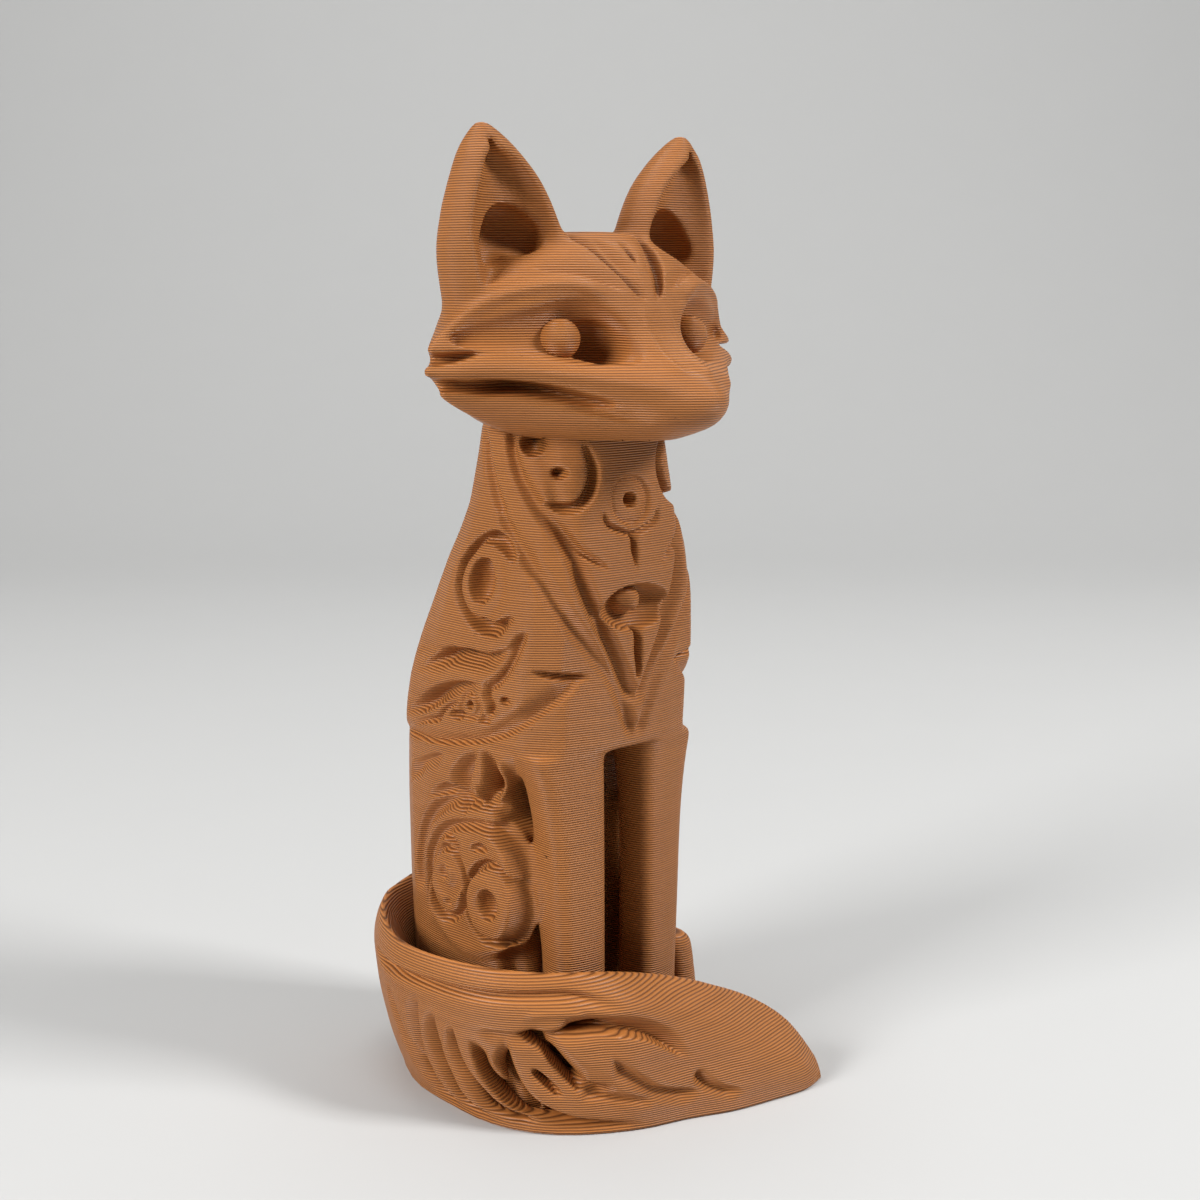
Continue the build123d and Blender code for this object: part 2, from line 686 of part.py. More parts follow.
def make_head(trunk_pieces):
    """Head, jaw and eyes, with the mouth between head and jaw."""
    whole = head_form()
    parting = mouth_plane()
    head = split(whole, bisect_by=parting, keep=Keep.TOP)
    jaw = split(whole, bisect_by=parting, keep=Keep.BOTTOM)
    jaw = jaw - mouth_slit()
    for cut in (*on_both_sides(socket()), *on_both_sides(tuft_notch())):
        head = head - cut
    eye = Pos(EYE_SPREAD, -EYE_REACH, EYE_HEIGHT) * egg(EYE_RADIUS, EYE_RADIUS, EYE_RADIUS) - head
    left_eye, right_eye = on_both_sides(eye)
    for piece in trunk_pieces:
        jaw = jaw - piece
        head = head - piece
    return whole, head, jaw, left_eye, right_eye


# Ears

# height, width, thickness and spread, as shares of the ear's own sizes
ear_shares = [
    (0.00, 0.93, 1.00, 0.75),
    (0.34, 1.00, 1.00, 0.80),
    (0.55, 0.87, 0.95, 0.84),
    (0.73, 0.66, 0.84, 0.88),
    (0.87, 0.42, 0.60, 0.94),
    (0.96, 0.20, 0.32, 0.98),
    (1.00, 0.07, 0.12, 1.00),
]


def ear_form(wall, root, forward):
    """An ear, or with a wall its hollow, as a stack of ovals up to the tip."""
    levels = []
    rise = EAR_TIP_HEIGHT - wall - root
    for height, width, thickness, spread in finer(ear_shares, EAR_STEPS):
        half_width = max(EAR_WIDTH / 2 * width - wall, EAR_POINT)
        depth = max(EAR_THICKNESS / 2 * thickness, EAR_POINT)
        middle = -forward * thickness
        outline = level(half_width, middle, middle - depth, middle + depth, oval_shares, oval_shares, 0)
        place = Pos(EAR_SPREAD * spread, -EAR_REACH, root + rise * height)
        levels.append(place * Rot(0, 0, EAR_TURN) * outline)
    return stack(levels)


def make_ear(head):
    """The left ear, hollowed from the front and seated on the crown."""
    hollow = ear_form(EAR_WALL, EAR_HOLLOW_HEIGHT, EAR_THICKNESS / 2)
    return ear_form(0, EAR_ROOT_HEIGHT, 0) - hollow - head


def save(name, piece):
    export_step(piece, f"parts/{name}.step")


def main():
    os.makedirs("parts", exist_ok=True)
    torso, bib, left_mantle, right_mantle = make_trunk()
    trunk = [torso, bib, left_mantle, right_mantle]
    foreleg = make_foreleg() - torso
    left_foreleg, right_foreleg = on_both_sides(foreleg)
    hind_foot = make_hind_foot([leg_room(), torso])
    left_hind_foot, right_hind_foot = on_both_sides(hind_foot)
    haunch = make_haunch([leg_room(), torso, hind_foot])
    left_haunch, right_haunch = on_both_sides(haunch)
    brush = make_brush([torso, right_haunch, right_hind_foot, right_foreleg, left_foreleg, left_hind_foot])
    whole_head, head, jaw, left_eye, right_eye = make_head(trunk)
    ear = make_ear(whole_head)
    left_ear, right_ear = on_both_sides(ear)
    pieces = {
        "torso": torso,
        "bib": bib,
        "left_mantle": left_mantle,
        "right_mantle": right_mantle,
        "left_foreleg": left_foreleg,
        "right_foreleg": right_foreleg,
        "left_haunch": left_haunch,
        "right_haunch": right_haunch,
        "left_hind_foot": left_hind_foot,
        "right_hind_foot": right_hind_foot,
        "brush": brush,
        "jaw": jaw,
        "head": head,
        "left_ear": left_ear,
        "right_ear": right_ear,
        "left_eye": left_eye,
        "right_eye": right_eye,
    }
    for name, piece in pieces.items():
        save(name, piece)


main()
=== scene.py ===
"""A sitting fox figurine, printed in copper-brown plastic: its skins, carving, finish and stage."""

import math

import bmesh
import bpy
import numpy as np
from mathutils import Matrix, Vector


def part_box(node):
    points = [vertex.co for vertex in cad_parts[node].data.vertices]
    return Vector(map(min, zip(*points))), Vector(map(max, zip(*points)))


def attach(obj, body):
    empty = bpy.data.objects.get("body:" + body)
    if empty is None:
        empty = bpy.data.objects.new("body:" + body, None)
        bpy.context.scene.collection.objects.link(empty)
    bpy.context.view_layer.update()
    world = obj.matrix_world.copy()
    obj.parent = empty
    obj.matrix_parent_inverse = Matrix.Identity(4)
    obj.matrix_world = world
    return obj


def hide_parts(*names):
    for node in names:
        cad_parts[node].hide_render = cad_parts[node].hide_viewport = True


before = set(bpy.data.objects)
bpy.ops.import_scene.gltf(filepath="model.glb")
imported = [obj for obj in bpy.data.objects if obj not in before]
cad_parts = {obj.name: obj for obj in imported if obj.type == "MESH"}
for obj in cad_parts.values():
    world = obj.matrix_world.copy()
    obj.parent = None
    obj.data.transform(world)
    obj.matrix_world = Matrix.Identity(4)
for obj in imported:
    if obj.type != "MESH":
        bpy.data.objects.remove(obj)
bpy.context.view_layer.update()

import openvdb
from mathutils import Matrix, Vector

bl_info = {
    "name": "Fox Figurine",
    "version": (1, 0, 0),
    "blender": (4, 5, 0),
    "location": "3D View > Sidebar > Fox",
    "description": "Sculpts a printed fox figurine round its packed solids",
    "category": "Add Mesh",
}

MM = 0.001                  # metres in one millimetre


# Sizes and colours that a user may change

class FoxSizes(bpy.types.PropertyGroup):
    """Sizes of the print's surface and of the carving."""

    layer: bpy.props.FloatProperty(
        name="Layer height", description="Pitch of the level print lines",
        default=0.0002, unit="LENGTH")
    bead: bpy.props.FloatProperty(
        name="Layer bead", description="How far a layer bulges from the wall",
        default=0.00009, unit="LENGTH")
    carve: bpy.props.FloatProperty(
        name="Carve depth", description="Depth of the sharp grooves of the ornament",
        default=0.0011, unit="LENGTH")
    groove: bpy.props.FloatProperty(
        name="Groove width", description="Width of the sharp grooves",
        default=0.0007, unit="LENGTH")
    eye: bpy.props.FloatProperty(
        name="Eye radius", description="Radius of the round eyeball",
        default=0.00162, unit="LENGTH")
    floor: bpy.props.FloatProperty(
        name="Floor size", description="Half the width of the studio floor",
        default=0.9, unit="LENGTH")


class FoxColours(bpy.types.PropertyGroup):
    """Colours of the plastic, of the painted shade between its layers, and of the studio."""

    plastic: bpy.props.FloatVectorProperty(
        name="Plastic", description="Colour of the plastic",
        subtype="COLOR", default=(0.46, 0.162, 0.036))
    # The layer shade colour is painted shade in the creases between layers; it also gives some whole layers
    # a darker tone
    shade: bpy.props.FloatVectorProperty(
        name="Layer shade", description="Colour between two layers",
        subtype="COLOR", default=(0.055, 0.014, 0.003))
    bloom: bpy.props.FloatVectorProperty(
        name="Bloom", description="Paler patches on the plastic",
        subtype="COLOR", default=(0.53, 0.200, 0.050))
    paper: bpy.props.FloatVectorProperty(
        name="Floor", description="Colour of the studio floor",
        subtype="COLOR", default=(0.54, 0.54, 0.533))


# Materials

class Socket:
    """An output of a shader node that ordinary sums can be written with."""

    def __init__(self, shader, link):
        self.shader = shader
        self.link = link

    def maths(self, operation, first, second):
        return self.shader.node("ShaderNodeMath", {"operation": operation}, {0: first, 1: second})

    def __add__(self, other):
        return self.maths("ADD", self, other)

    def __rsub__(self, other):
        return self.maths("SUBTRACT", other, self)

    def __mul__(self, other):
        return self.maths("MULTIPLY", self, other)

    __radd__ = __add__
    __rmul__ = __mul__


class Shader:
    """A material that is put together from nodes."""

    def __init__(self, name):
        self.material = bpy.data.materials.new(name)
        self.material.use_nodes = True
        self.tree = self.material.node_tree
        self.tree.nodes.clear()

    def node(self, kind, settings=None, values=None, output=0):
        """Adds a node, sets it up, fills its sockets and gives one of its outputs."""
        node = self.tree.nodes.new(kind)
        for key, value in (settings or {}).items():
            if key == "stops":
                ramp = node.color_ramp
                while len(ramp.elements) < len(value):
                    ramp.elements.new(1.0)
                for element, (place, grey) in zip(ramp.elements, value):
                    element.position = place
                    element.color = (grey, grey, grey, 1.0)
            else:
                setattr(node, key, value)
        for key, value in (values or {}).items():
            if isinstance(value, Socket):
                self.tree.links.new(value.link, node.inputs[key])
            else:
                node.inputs[key].default_value = value
        return Socket(self, node.outputs[output])

    def blend(self, share, first, second):
        """A mix of two colours."""
        return self.node("ShaderNodeMix", {"data_type": "RGBA"}, {0: share, 6: first, 7: second}, output=2)

    def finish(self, values):
        """Adds the surface shader and the output."""
        surface = self.node("ShaderNodeBsdfPrincipled", None, values)
        output = self.tree.nodes.new("ShaderNodeOutputMaterial")
        self.tree.links.new(surface.link, output.inputs["Surface"])
        return self.material


def rgba(colour):
    return (*colour, 1.0)


# How much painted shade darkens the crease between two layers, by the share of the bead's height
CREASE_SHADE_STOPS = ((0.0, 1.0), (0.30, 0.35), (0.62, 0.0))


def printed_plastic():
    """Copper-brown plastic in level layers, each a little unlike the next, with painted shade darkening the
    crease between two layers.
    """
    known = bpy.data.materials.get("printed_plastic")
    if known:
        return known
    sizes = bpy.context.scene.fox_sizes
    colours = bpy.context.scene.fox_colours
    shader = Shader("printed_plastic")
    place = shader.node("ShaderNodeTexCoord", output=3)
    up = shader.node("ShaderNodeSeparateXYZ", None, {0: place}, output=2)
    rung = up * (1 / sizes.layer)
    bead = 0.5 - 0.5 * shader.node("ShaderNodeMath", {"operation": "COSINE"}, {0: rung * (2 * math.pi)})
    number = shader.node("ShaderNodeMath", {"operation": "FLOOR"}, {0: rung})
    uneven = shader.node("ShaderNodeTexWhiteNoise", {"noise_dimensions": "1D"}, {"W": number})
    slow = shader.node(
        "ShaderNodeTexNoise", {"noise_dimensions": "1D"}, {"W": rung, "Scale": 0.31, "Detail": 1.0})
    patches = shader.node("ShaderNodeTexNoise", None, {"Vector": place, "Scale": 110.0, "Detail": 3.0})
    drift = shader.node("ShaderNodeTexNoise", None, {"Vector": place, "Scale": 900.0, "Detail": 2.0})
    crease_shade = shader.node("ShaderNodeValToRGB", {"stops": CREASE_SHADE_STOPS}, {0: bead})
    base = shader.blend(patches, rgba(colours.plastic), rgba(colours.bloom))
    base = shader.blend(uneven * 0.05 + slow * 0.08, base, rgba(colours.shade))
    # painted shade: the crease between two layers is darkened as if shade fell in it
    base = shader.blend(crease_shade * (0.74 + 0.12 * uneven), base, rgba(colours.shade))
    height = bead + uneven * 0.15 + drift * 0.2
    bump = shader.node("ShaderNodeBump", None, {"Strength": 1.0, "Distance": sizes.bead, "Height": height})
    return shader.finish({
        "Base Color": base, "Roughness": 0.44 + 0.12 * drift, "Specular IOR Level": 0.45, "Normal": bump})


def studio_paper():
    """Plain pale card for the floor and the backdrop."""
    colours = bpy.context.scene.fox_colours
    shader = Shader("studio_paper")
    place = shader.node("ShaderNodeTexCoord", output=3)
    grain = shader.node("ShaderNodeTexNoise", None, {"Vector": place, "Scale": 60.0, "Detail": 2.0})
    pale = rgba(colours.paper)
    tinted = tuple(0.985 * c for c in colours.paper) + (1.0,)
    return shader.finish({"Base Color": shader.blend(grain, pale, tinted), "Roughness": 0.9})


# Clay

def solid(node):
    """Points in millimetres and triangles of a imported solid, from a merged copy of its mesh."""
    shape = bmesh.new()
    shape.from_mesh(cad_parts[node].data)
    bmesh.ops.remove_doubles(shape, verts=shape.verts, dist=1e-7)
    shape.verts.index_update()
    points = np.array([vert.co for vert in shape.verts], np.float32) / MM
    faces = np.array([[vert.index for vert in face.verts] for face in shape.faces], np.uint32)
    shape.free()
    return points, faces


def finer(rows, steps):
    """Rows of numbers with smooth ones put between them."""
    rows = np.array(rows, float)
    last = len(rows) - 1
    fine = []
    for start in range(last):
        a, b, c, d = (rows[min(max(start + k, 0), last)] for k in (-1, 0, 1, 2))
        for step in range(steps):
            t = step / steps
            fine.append(((2 * b) + (c - a) * t + (2 * a - 5 * b + 4 * c - d) * t * t
                         + (3 * b - a - 3 * c + d) * t ** 3) / 2)
    fine.append(rows[last])
    return np.array(fine)


def outline(half_width, middle, front, back, front_shares, back_shares, facets=22):
    """A closed level outline of four curves, from the front left round to the back left."""
    t = np.linspace(0, 1, facets, endpoint=False)

    def corner(wide, end, shares, backwards):
        pull, along, across = shares
        p = np.array((
            (wide, middle), (wide * (1 - pull), middle + (end - middle) * along),
            (wide * across, end), (0, end)), float)
        k = (1 - t if backwards else t)[:, None]
        return ((1 - k) ** 3 * p[0] + 3 * (1 - k) ** 2 * k * p[1]
                + 3 * (1 - k) * k ** 2 * p[2] + k ** 3 * p[3])

    return np.concatenate([
        corner(-half_width, front, front_shares, False),
        corner(half_width, front, front_shares, True),
        corner(half_width, back, back_shares, False),
        corner(-half_width, back, back_shares, True),
    ])


def skin_over(levels):
    """Points and triangles of a closed form through level outlines with equal numbers of points."""
    count = len(levels[0])
    points = [p for level in levels for p in level]
    faces = []
    for row in range(len(levels) - 1):
        for k in range(count):
            a, b = row * count + k, row * count + (k + 1) % count
            faces += [(a, b, b + count), (a, b + count, a + count)]
    for row, turned in ((0, True), (len(levels) - 1, False)):
        centre = len(points)
        points.append(np.mean(levels[row], axis=0))
        for k in range(count):
            a, b = row * count + k, row * count + (k + 1) % count
            faces.append((b, a, centre) if turned else (a, b, centre))
    return np.array(points, np.float32), np.array(faces, np.uint32)


def mirrored(form):
    """The same form on the fox's other side."""
    points, faces = form
    return points * np.array([-1, 1, 1], np.float32), faces[:, ::-1].copy()


def smooth_min(a, b, reach):
    """The union of two fields with a fillet between them."""
    mix = np.clip(0.5 + 0.5 * (b - a) / reach, 0, 1)
    return b + (a - b) * mix - reach * mix * (1 - mix)


def smooth_max(a, b, reach):
    """What two fields have in common, with a fillet between them."""
    return -smooth_min(-a, -b, reach)


def step_up(value):
    """A smooth step from 0 to 1."""
    value = np.clip(value, 0, 1)
    return value * value * (3 - 2 * value)


class Clay:
    """A block of clay: distances in millimetres to its skin on an even grid, below zero inside."""

    overlap = 0.3           # how far two pieces of one block reach into each other
    sink = 0.03             # how far the hidden skin there lies below the block's own

    def __init__(self, forms, grain, band=2.4):
        self.grain = grain
        self.band = band
        low = np.min([form[0].min(0) for form in forms], axis=0) - band
        high = np.max([form[0].max(0) for form in forms], axis=0) + band
        self.first = np.floor(low / grain).astype(int)
        self.shape = tuple(np.ceil(high / grain).astype(int) - self.first + 1)
        self.corner = tuple(int(k) for k in self.first)
        self.field = None

    def of_form(self, form):
        """Distances to one closed form."""
        points, faces = form
        grid = openvdb.FloatGrid.createLevelSetFromPolygons(
            points, triangles=faces, transform=openvdb.createLinearTransform(voxelSize=self.grain),
            halfWidth=self.band / self.grain)
        field = np.empty(self.shape, np.float32)
        grid.copyToArray(field, ijk=self.corner)
        return field

    def of_lump(self, fields, seam=0.04):
        """Distances to several touching forms as one lump, with no wall where they touch."""
        lump = self.skin(np.min(fields, axis=0) - seam)
        return self.of_form(lump) + seam

    def axes(self):
        """The grid's x, y and z in millimetres."""
        lines = [(self.first[k] + np.arange(self.shape[k])) * self.grain for k in range(3)]
        return np.meshgrid(*[line.astype(np.float32) for line in lines], indexing="ij", sparse=True)

    def skin(self, field, adaptivity=0.0):
        """Points and triangles of the surface where a field is zero."""
        grid = openvdb.FloatGrid(float(self.band))
        grid.copyFromArray(np.ascontiguousarray(field, np.float32), ijk=self.corner)
        grid.transform = openvdb.createLinearTransform(voxelSize=self.grain)
        points, triangles, quads = grid.convertToPolygons(isovalue=0.0, adaptivity=adaptivity)
        faces = np.concatenate([triangles, quads[:, [0, 1, 2]], quads[:, [0, 2, 3]]])
        a, b, c = (points[faces[:, k]].astype(float) for k in range(3))
        if np.einsum("ij,ij->i", a, np.cross(b, c)).sum() < 0:
            faces = faces[:, ::-1]
        return points.astype(np.float32), np.ascontiguousarray(faces, np.uint32)

    def softened(self, field, reach):
        """A field averaged over a reach, which rounds its edges and facets."""
        radius = max(1, int(round(2.5 * reach / self.grain)))
        weights = np.exp(-0.5 * (np.arange(-radius, radius + 1) * self.grain / reach) ** 2)
        weights /= weights.sum()
        for axis in range(3):
            room = [(radius, radius) if k == axis else (0, 0) for k in range(3)]
            wide = np.pad(field, room, mode="edge")
            total = np.zeros_like(field)
            for k, weight in enumerate(weights):
                cut = [slice(None)] * 3
                cut[axis] = slice(k, k + field.shape[axis])
                total += np.float32(weight) * wide[tuple(cut)]
            field = total
        return field

    def parted(self, fields):
        """The block cut up, each part with what lies nearest to one of the given fields."""
        parts = []
        for k, own in enumerate(fields):
            others = np.min([field for j, field in enumerate(fields) if j != k], axis=0)
            border = (own - others) / 2
            sunk = self.sink * step_up(border / self.grain + 0.5)
            parts.append(np.maximum(self.field + sunk, border - self.overlap))
        return parts

    def piece(self, name, nodes, field=None, adaptivity=0.0):
        """Makes clay a piece of the figurine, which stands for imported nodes."""
        points, faces = self.skin(self.field if field is None else field, adaptivity)
        mesh = bpy.data.meshes.new(name)
        mesh.from_pydata((points * MM).tolist(), [], faces.tolist())
        mesh.validate()
        bpy.ops.object.select_all(action="DESELECT")
        piece = bpy.data.objects.new(name, mesh)
        bpy.context.scene.collection.objects.link(piece)
        bpy.context.view_layer.objects.active = piece
        piece.select_set(True)
        keep_largest(piece)
        bpy.ops.object.shade_smooth()
        mesh.materials.append(printed_plastic())
        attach(piece, "root")
        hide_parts(*nodes)
        return piece


def keep_largest(piece):
    """Deletes crumbs, so that the piece is one closed lump."""
    mesh = piece.data
    count = len(mesh.vertices)
    edges = np.empty(len(mesh.edges) * 2, np.int32)
    mesh.edges.foreach_get("vertices", edges)
    a, b = edges.reshape(-1, 2).T
    lump = np.arange(count)
    while True:
        low = np.minimum(lump[a], lump[b])
        new = lump.copy()
        np.minimum.at(new, a, low)
        np.minimum.at(new, b, low)
        new = new[new]
        if (new == lump).all():
            break
        lump = new
    names, sizes = np.unique(lump, return_counts=True)
    crumbs = np.nonzero(lump != names[sizes.argmax()])[0]
    if len(crumbs):
        shape = bmesh.new()
        shape.from_mesh(mesh)
        shape.verts.ensure_lookup_table()
        bmesh.ops.delete(shape, geom=[shape.verts[int(k)] for k in crumbs], context="VERTS")
        shape.to_mesh(mesh)
        shape.free()


class Relief:
    """Carving on the skin of a block of clay, drawn on a flat map of that skin."""

    def __init__(self, clay, chart, reach=2.0):
        self.clay = clay
        self.where = np.nonzero(np.abs(clay.field) < reach)
        place = [(clay.first[k] + self.where[k]) * clay.grain for k in range(3)]
        self.x, self.y, self.z = (line.astype(np.float32) for line in place)
        self.chart = chart
        self.u, self.v = chart(self.x, self.y, self.z)
        self.lift = np.zeros(len(self.x), np.float32)

    def line(self, points):
        """Corner points as a smooth line on the map."""
        points = np.array(points, float)
        flat = np.stack(self.chart(points[:, 0], points[:, 1], points[:, 2]), 1)
        return finer(flat, 5) if len(points) > 2 else flat

    def near(self, line, reach):
        """The clay near a line: which, how far, on which side, and the share along the line."""
        low, high = line.min(0) - reach, line.max(0) + reach
        inside = (self.u > low[0]) & (self.u < high[0]) & (self.v > low[1]) & (self.v < high[1])
        some = np.nonzero(inside)[0]
        u, v = self.u[some], self.v[some]
        best = np.full(len(some), 1e9, np.float32)
        side = np.zeros(len(some), np.float32)
        share = np.zeros(len(some), np.float32)
        runs = np.hypot(*np.diff(line, axis=0).T)
        done = 0.0
        for (u0, v0), (u1, v1), run in zip(line[:-1], line[1:], runs):
            du, dv = u1 - u0, v1 - v0
            t = np.clip(((u - u0) * du + (v - v0) * dv) / max(run * run, 1e-9), 0, 1)
            eu, ev = u - u0 - t * du, v - v0 - t * dv
            far = eu * eu + ev * ev
            nearer = far < best
            best = np.where(nearer, far, best)
            side = np.where(nearer, np.sign(du * ev - dv * eu), side)
            share = np.where(nearer, (done + t * run) / runs.sum(), share)
            done += run
        far = np.sqrt(best)
        keep = far < reach
        return some[keep], far[keep], side[keep], share[keep]

    def groove(self, points, width, depth, ends=0.2, wall=0.22):
        """A sharp groove along a line, which narrows to the given share at its ends."""
        some, far, _, share = self.near(self.line(points), width + wall)
        taper = ends + (1 - ends) * np.sqrt(np.clip(np.sin(math.pi * np.clip(share, 0.02, 0.98)), 0, 1))
        half = width / 2 * taper
        shape = step_up((half - far) / wall + 0.5) * (0.6 + 0.4 * np.clip(1 - far / half, 0, 1))
        goal = np.minimum(-depth * taper, self.lift[some])
        self.lift[some] += (goal - self.lift[some]) * shape

    def valley(self, points, width, depth, fade=0.15):
        """A soft trough along a line, which fades in and out. A depth below zero makes a soft ridge."""
        some, far, _, share = self.near(self.line(points), width / 2)
        taper = step_up(share / fade) * step_up((1 - share) / fade)
        self.lift[some] -= depth * taper * (0.5 + 0.5 * np.cos(2 * math.pi * far / width))

    def ledge(self, points, width, depth, high_side=1, wall=0.22, fade=0.3):
        """A step along a line: the clay is pressed down on one side and slopes back up away from it."""
        some, far, side, share = self.near(self.line(points), width)
        taper = step_up(share / fade) * step_up((1 - share) / fade)
        away = -far * side * high_side
        down = step_up(away / wall) * step_up(1 - away / (width * (0.35 + 0.65 * taper)))
        self.lift[some] -= depth * taper * down

    def oval(self, centre, radii):
        """The distance from a centre as a share of an oval's radii."""
        u, v = (float(k[0]) for k in self.chart(*[np.array([c], float) for c in centre]))
        return np.hypot((self.u - u) / radii[0], (self.v - v) / radii[1])

    def disc(self, centre, radii, height, edge=0.3):
        """A flat-topped oval that is raised, or sunk if its height is below zero."""
        inside = (1 - self.oval(centre, radii)) * min(radii)
        self.lift += (height * step_up(inside / edge + 0.5)).astype(np.float32)

    def bowl(self, centre, radii, height):
        """A round-bottomed oval hollow, or a dome if its height is above zero."""
        far = self.oval(centre, radii)
        shape = height * np.sqrt(np.clip(1 - far * far, 0, 1))
        self.lift = (self.lift + shape if height > 0 else np.minimum(self.lift, shape)).astype(np.float32)

    def press(self, keep=None):
        """Carves the drawn relief into the clay."""
        self.clay.field[self.where] -= self.lift if keep is None else self.lift * keep


def around(centre_y, radius):
    """A map that unrolls both sides of the clay round an upright axis, from the front."""
    def chart(x, y, z):
        return radius * np.arctan2(np.abs(x), -(y - centre_y)), z
    return chart


def from_side(x, y, z):
    """A map of the clay as it is seen from the fox's side."""
    return -y, z


def from_above(x, y, z):
    """A map of both sides of the clay as they are seen from above."""
    return np.abs(x), y


def round_the_feet(x, y, z):
    """A map that unrolls the outer wall of the brush, from the rump to the tip."""
    return WALL_RADIUS * np.arctan2(x - WALL_X, -(y - WALL_Y)), z


# Upright axis and radius of the maps, near those of the forms, in millimetres
BODY_MAP = around(-1.5, 10.0)
FACE_MAP = around(-2.0, 14.0)
WALL_X, WALL_Y, WALL_RADIUS = -1.0, -2.0, 15.5

# Grain of each block, how far its facets are rounded before the carving, and all of it after
TRUNK_GRAIN, TRUNK_ROUNDING, TRUNK_FINISH = 0.19, 0.38, 0.1
FOOT_GRAIN, FOOT_ROUNDING = 0.22, 0.4
BRUSH_GRAIN, BRUSH_ROUNDING, TIP_ROUNDING, BRUSH_FINISH = 0.2, 0.75, 0.4, 0.12
HEAD_GRAIN, HEAD_ROUNDING, HEAD_FINISH = 0.19, 0.15, 0.12
# How freely flat parts of a skin get larger triangles
TRUNK_THINNING, HEAD_THINNING = 0.012, 0.01
# Heights over which the flat underside passes into the rounded form
BODY_RISE, FOOT_RISE = 1.5, 1.2


# Stage

def aim(thing, target):
    """Turns a lamp or camera to look at a point."""
    thing.rotation_euler = (Vector(target) - thing.location).to_track_quat("-Z", "Y").to_euler()


CAMERA_PLACE = (-0.1097, -0.1215, 0.070)
CAMERA_HEADING = math.radians(44)       # how far it looks round from +Y towards +X
CAMERA_DROP = math.radians(9.66)        # how far it looks down
CAMERA_LENS = 56.4
AIR_STRENGTH = 0.14                     # light from all round
FLOOR_CUTS = 60
FIGURE_MIDDLE = (0, 0, 0.04)
# Name, place, size, power and target of the soft lamps
LAMPS = (
    ("key_lamp", (0.20, -0.36, 0.34), 0.12, 2.3, FIGURE_MIDDLE),
    ("side_lamp", (-0.50, 0.02, 0.26), 0.20, 3.2, FIGURE_MIDDLE),
    ("top_lamp", (0.02, 0.02, 0.62), 0.34, 1.4, FIGURE_MIDDLE),
    ("backdrop_lamp", (0.12, 0.12, 0.45), 0.40, 0.5, (0.50, 0.52, 0.20)),
)


class FOX_OT_stage(bpy.types.Operator):
    """Lay a pale curved floor, hang soft lamps and set up the camera"""

    bl_idname = "fox.stage"
    bl_label = "Studio Stage"

    def execute(self, context):
        half = context.scene.fox_sizes.floor
        rise_start, bend_radius = 0.30, 0.30
        bpy.ops.object.select_all(action="DESELECT")
        bpy.ops.mesh.primitive_plane_add(size=2 * half, location=(0, 0, 0))
        floor = context.object
        floor.name = "studio_floor"
        turn = Matrix.Rotation(CAMERA_HEADING, 4, "Z")
        floor.data.transform(turn.inverted())
        edit = bmesh.new()
        edit.from_mesh(floor.data)
        bmesh.ops.subdivide_edges(edit, edges=edit.edges[:], cuts=FLOOR_CUTS, use_grid_fill=True)
        for vert in edit.verts:
            flat = turn @ vert.co
            away = flat.y - rise_start
            if away > 0:
                bend = min(away / bend_radius, math.pi / 2)
                rest = max(0.0, away - bend_radius * math.pi / 2)
                flat.y = rise_start + bend_radius * math.sin(bend)
                flat.z = bend_radius * (1 - math.cos(bend)) + rest
                vert.co = turn.inverted() @ flat
        edit.to_mesh(floor.data)
        edit.free()
        bpy.ops.object.shade_smooth()
        floor.data.materials.append(studio_paper())

        world = bpy.data.worlds.new("studio_air")
        world.use_nodes = True
        air = world.node_tree.nodes["Background"]
        air.inputs["Color"].default_value = (1.0, 1.0, 1.0, 1.0)
        air.inputs["Strength"].default_value = AIR_STRENGTH
        context.scene.world = world

        for name, place, size, power, target in LAMPS:
            bpy.ops.object.light_add(type="AREA", location=place)
            lamp = context.object
            lamp.name = name
            lamp.data.size = size
            lamp.data.energy = power
            aim(lamp, target)

        bpy.ops.object.camera_add(location=CAMERA_PLACE)
        camera = context.object
        camera.name = "photo_camera"
        camera.data.sensor_width = 36
        camera.data.lens = CAMERA_LENS
        camera.data.clip_start = 0.01
        level = math.cos(CAMERA_DROP)
        look = Vector((
            math.sin(CAMERA_HEADING) * level, math.cos(CAMERA_HEADING) * level, -math.sin(CAMERA_DROP)))
        aim(camera, camera.location + look)
        context.scene.camera = camera
        context.scene.view_settings.view_transform = "Standard"
        return {"FINISHED"}


# Trunk, coat and forelegs

# Lines of the coat are drawn on the fox's right flank, as x, y and z in millimetres from the
# frame's origin, and come out on both sides.
BAND_INNER = ((-8.0, -4.6, 58.5), (-7.9, -5.2, 56.4), (-7.8, -6.4, 54.2), (-7.5, -8.7, 51.5),
              (-6.3, -10.9, 48.4), (-5.4, -11.3, 45.4), (-3.9, -11.9, 42.0), (-2.1, -12.2, 38.6),
              (0.0, -12.5, 34.6))
BAND_OUTER = ((-7.4, -0.6, 57.6), (-7.6, -2.2, 54.8), (-8.3, -5.3, 50.5), (-8.4, -8.7, 47.1),
              (-7.2, -10.7, 43.5), (-4.9, -11.8, 40.0), (-2.3, -12.3, 36.3), (0.0, -12.5, 31.6))
BAND_SLIT = ((-7.4, -9.2, 51.2), (-6.3, -10.7, 49.3), (-5.1, -11.4, 47.9), (-3.0, -11.9, 46.5))
SCROLL_TRENCH = ((-4.6, -11.2, 56.6), (-4.0, -11.5, 54.8), (-4.4, -11.3, 52.9), (-5.7, -10.7, 51.7),
                 (-7.4, -9.2, 51.9))
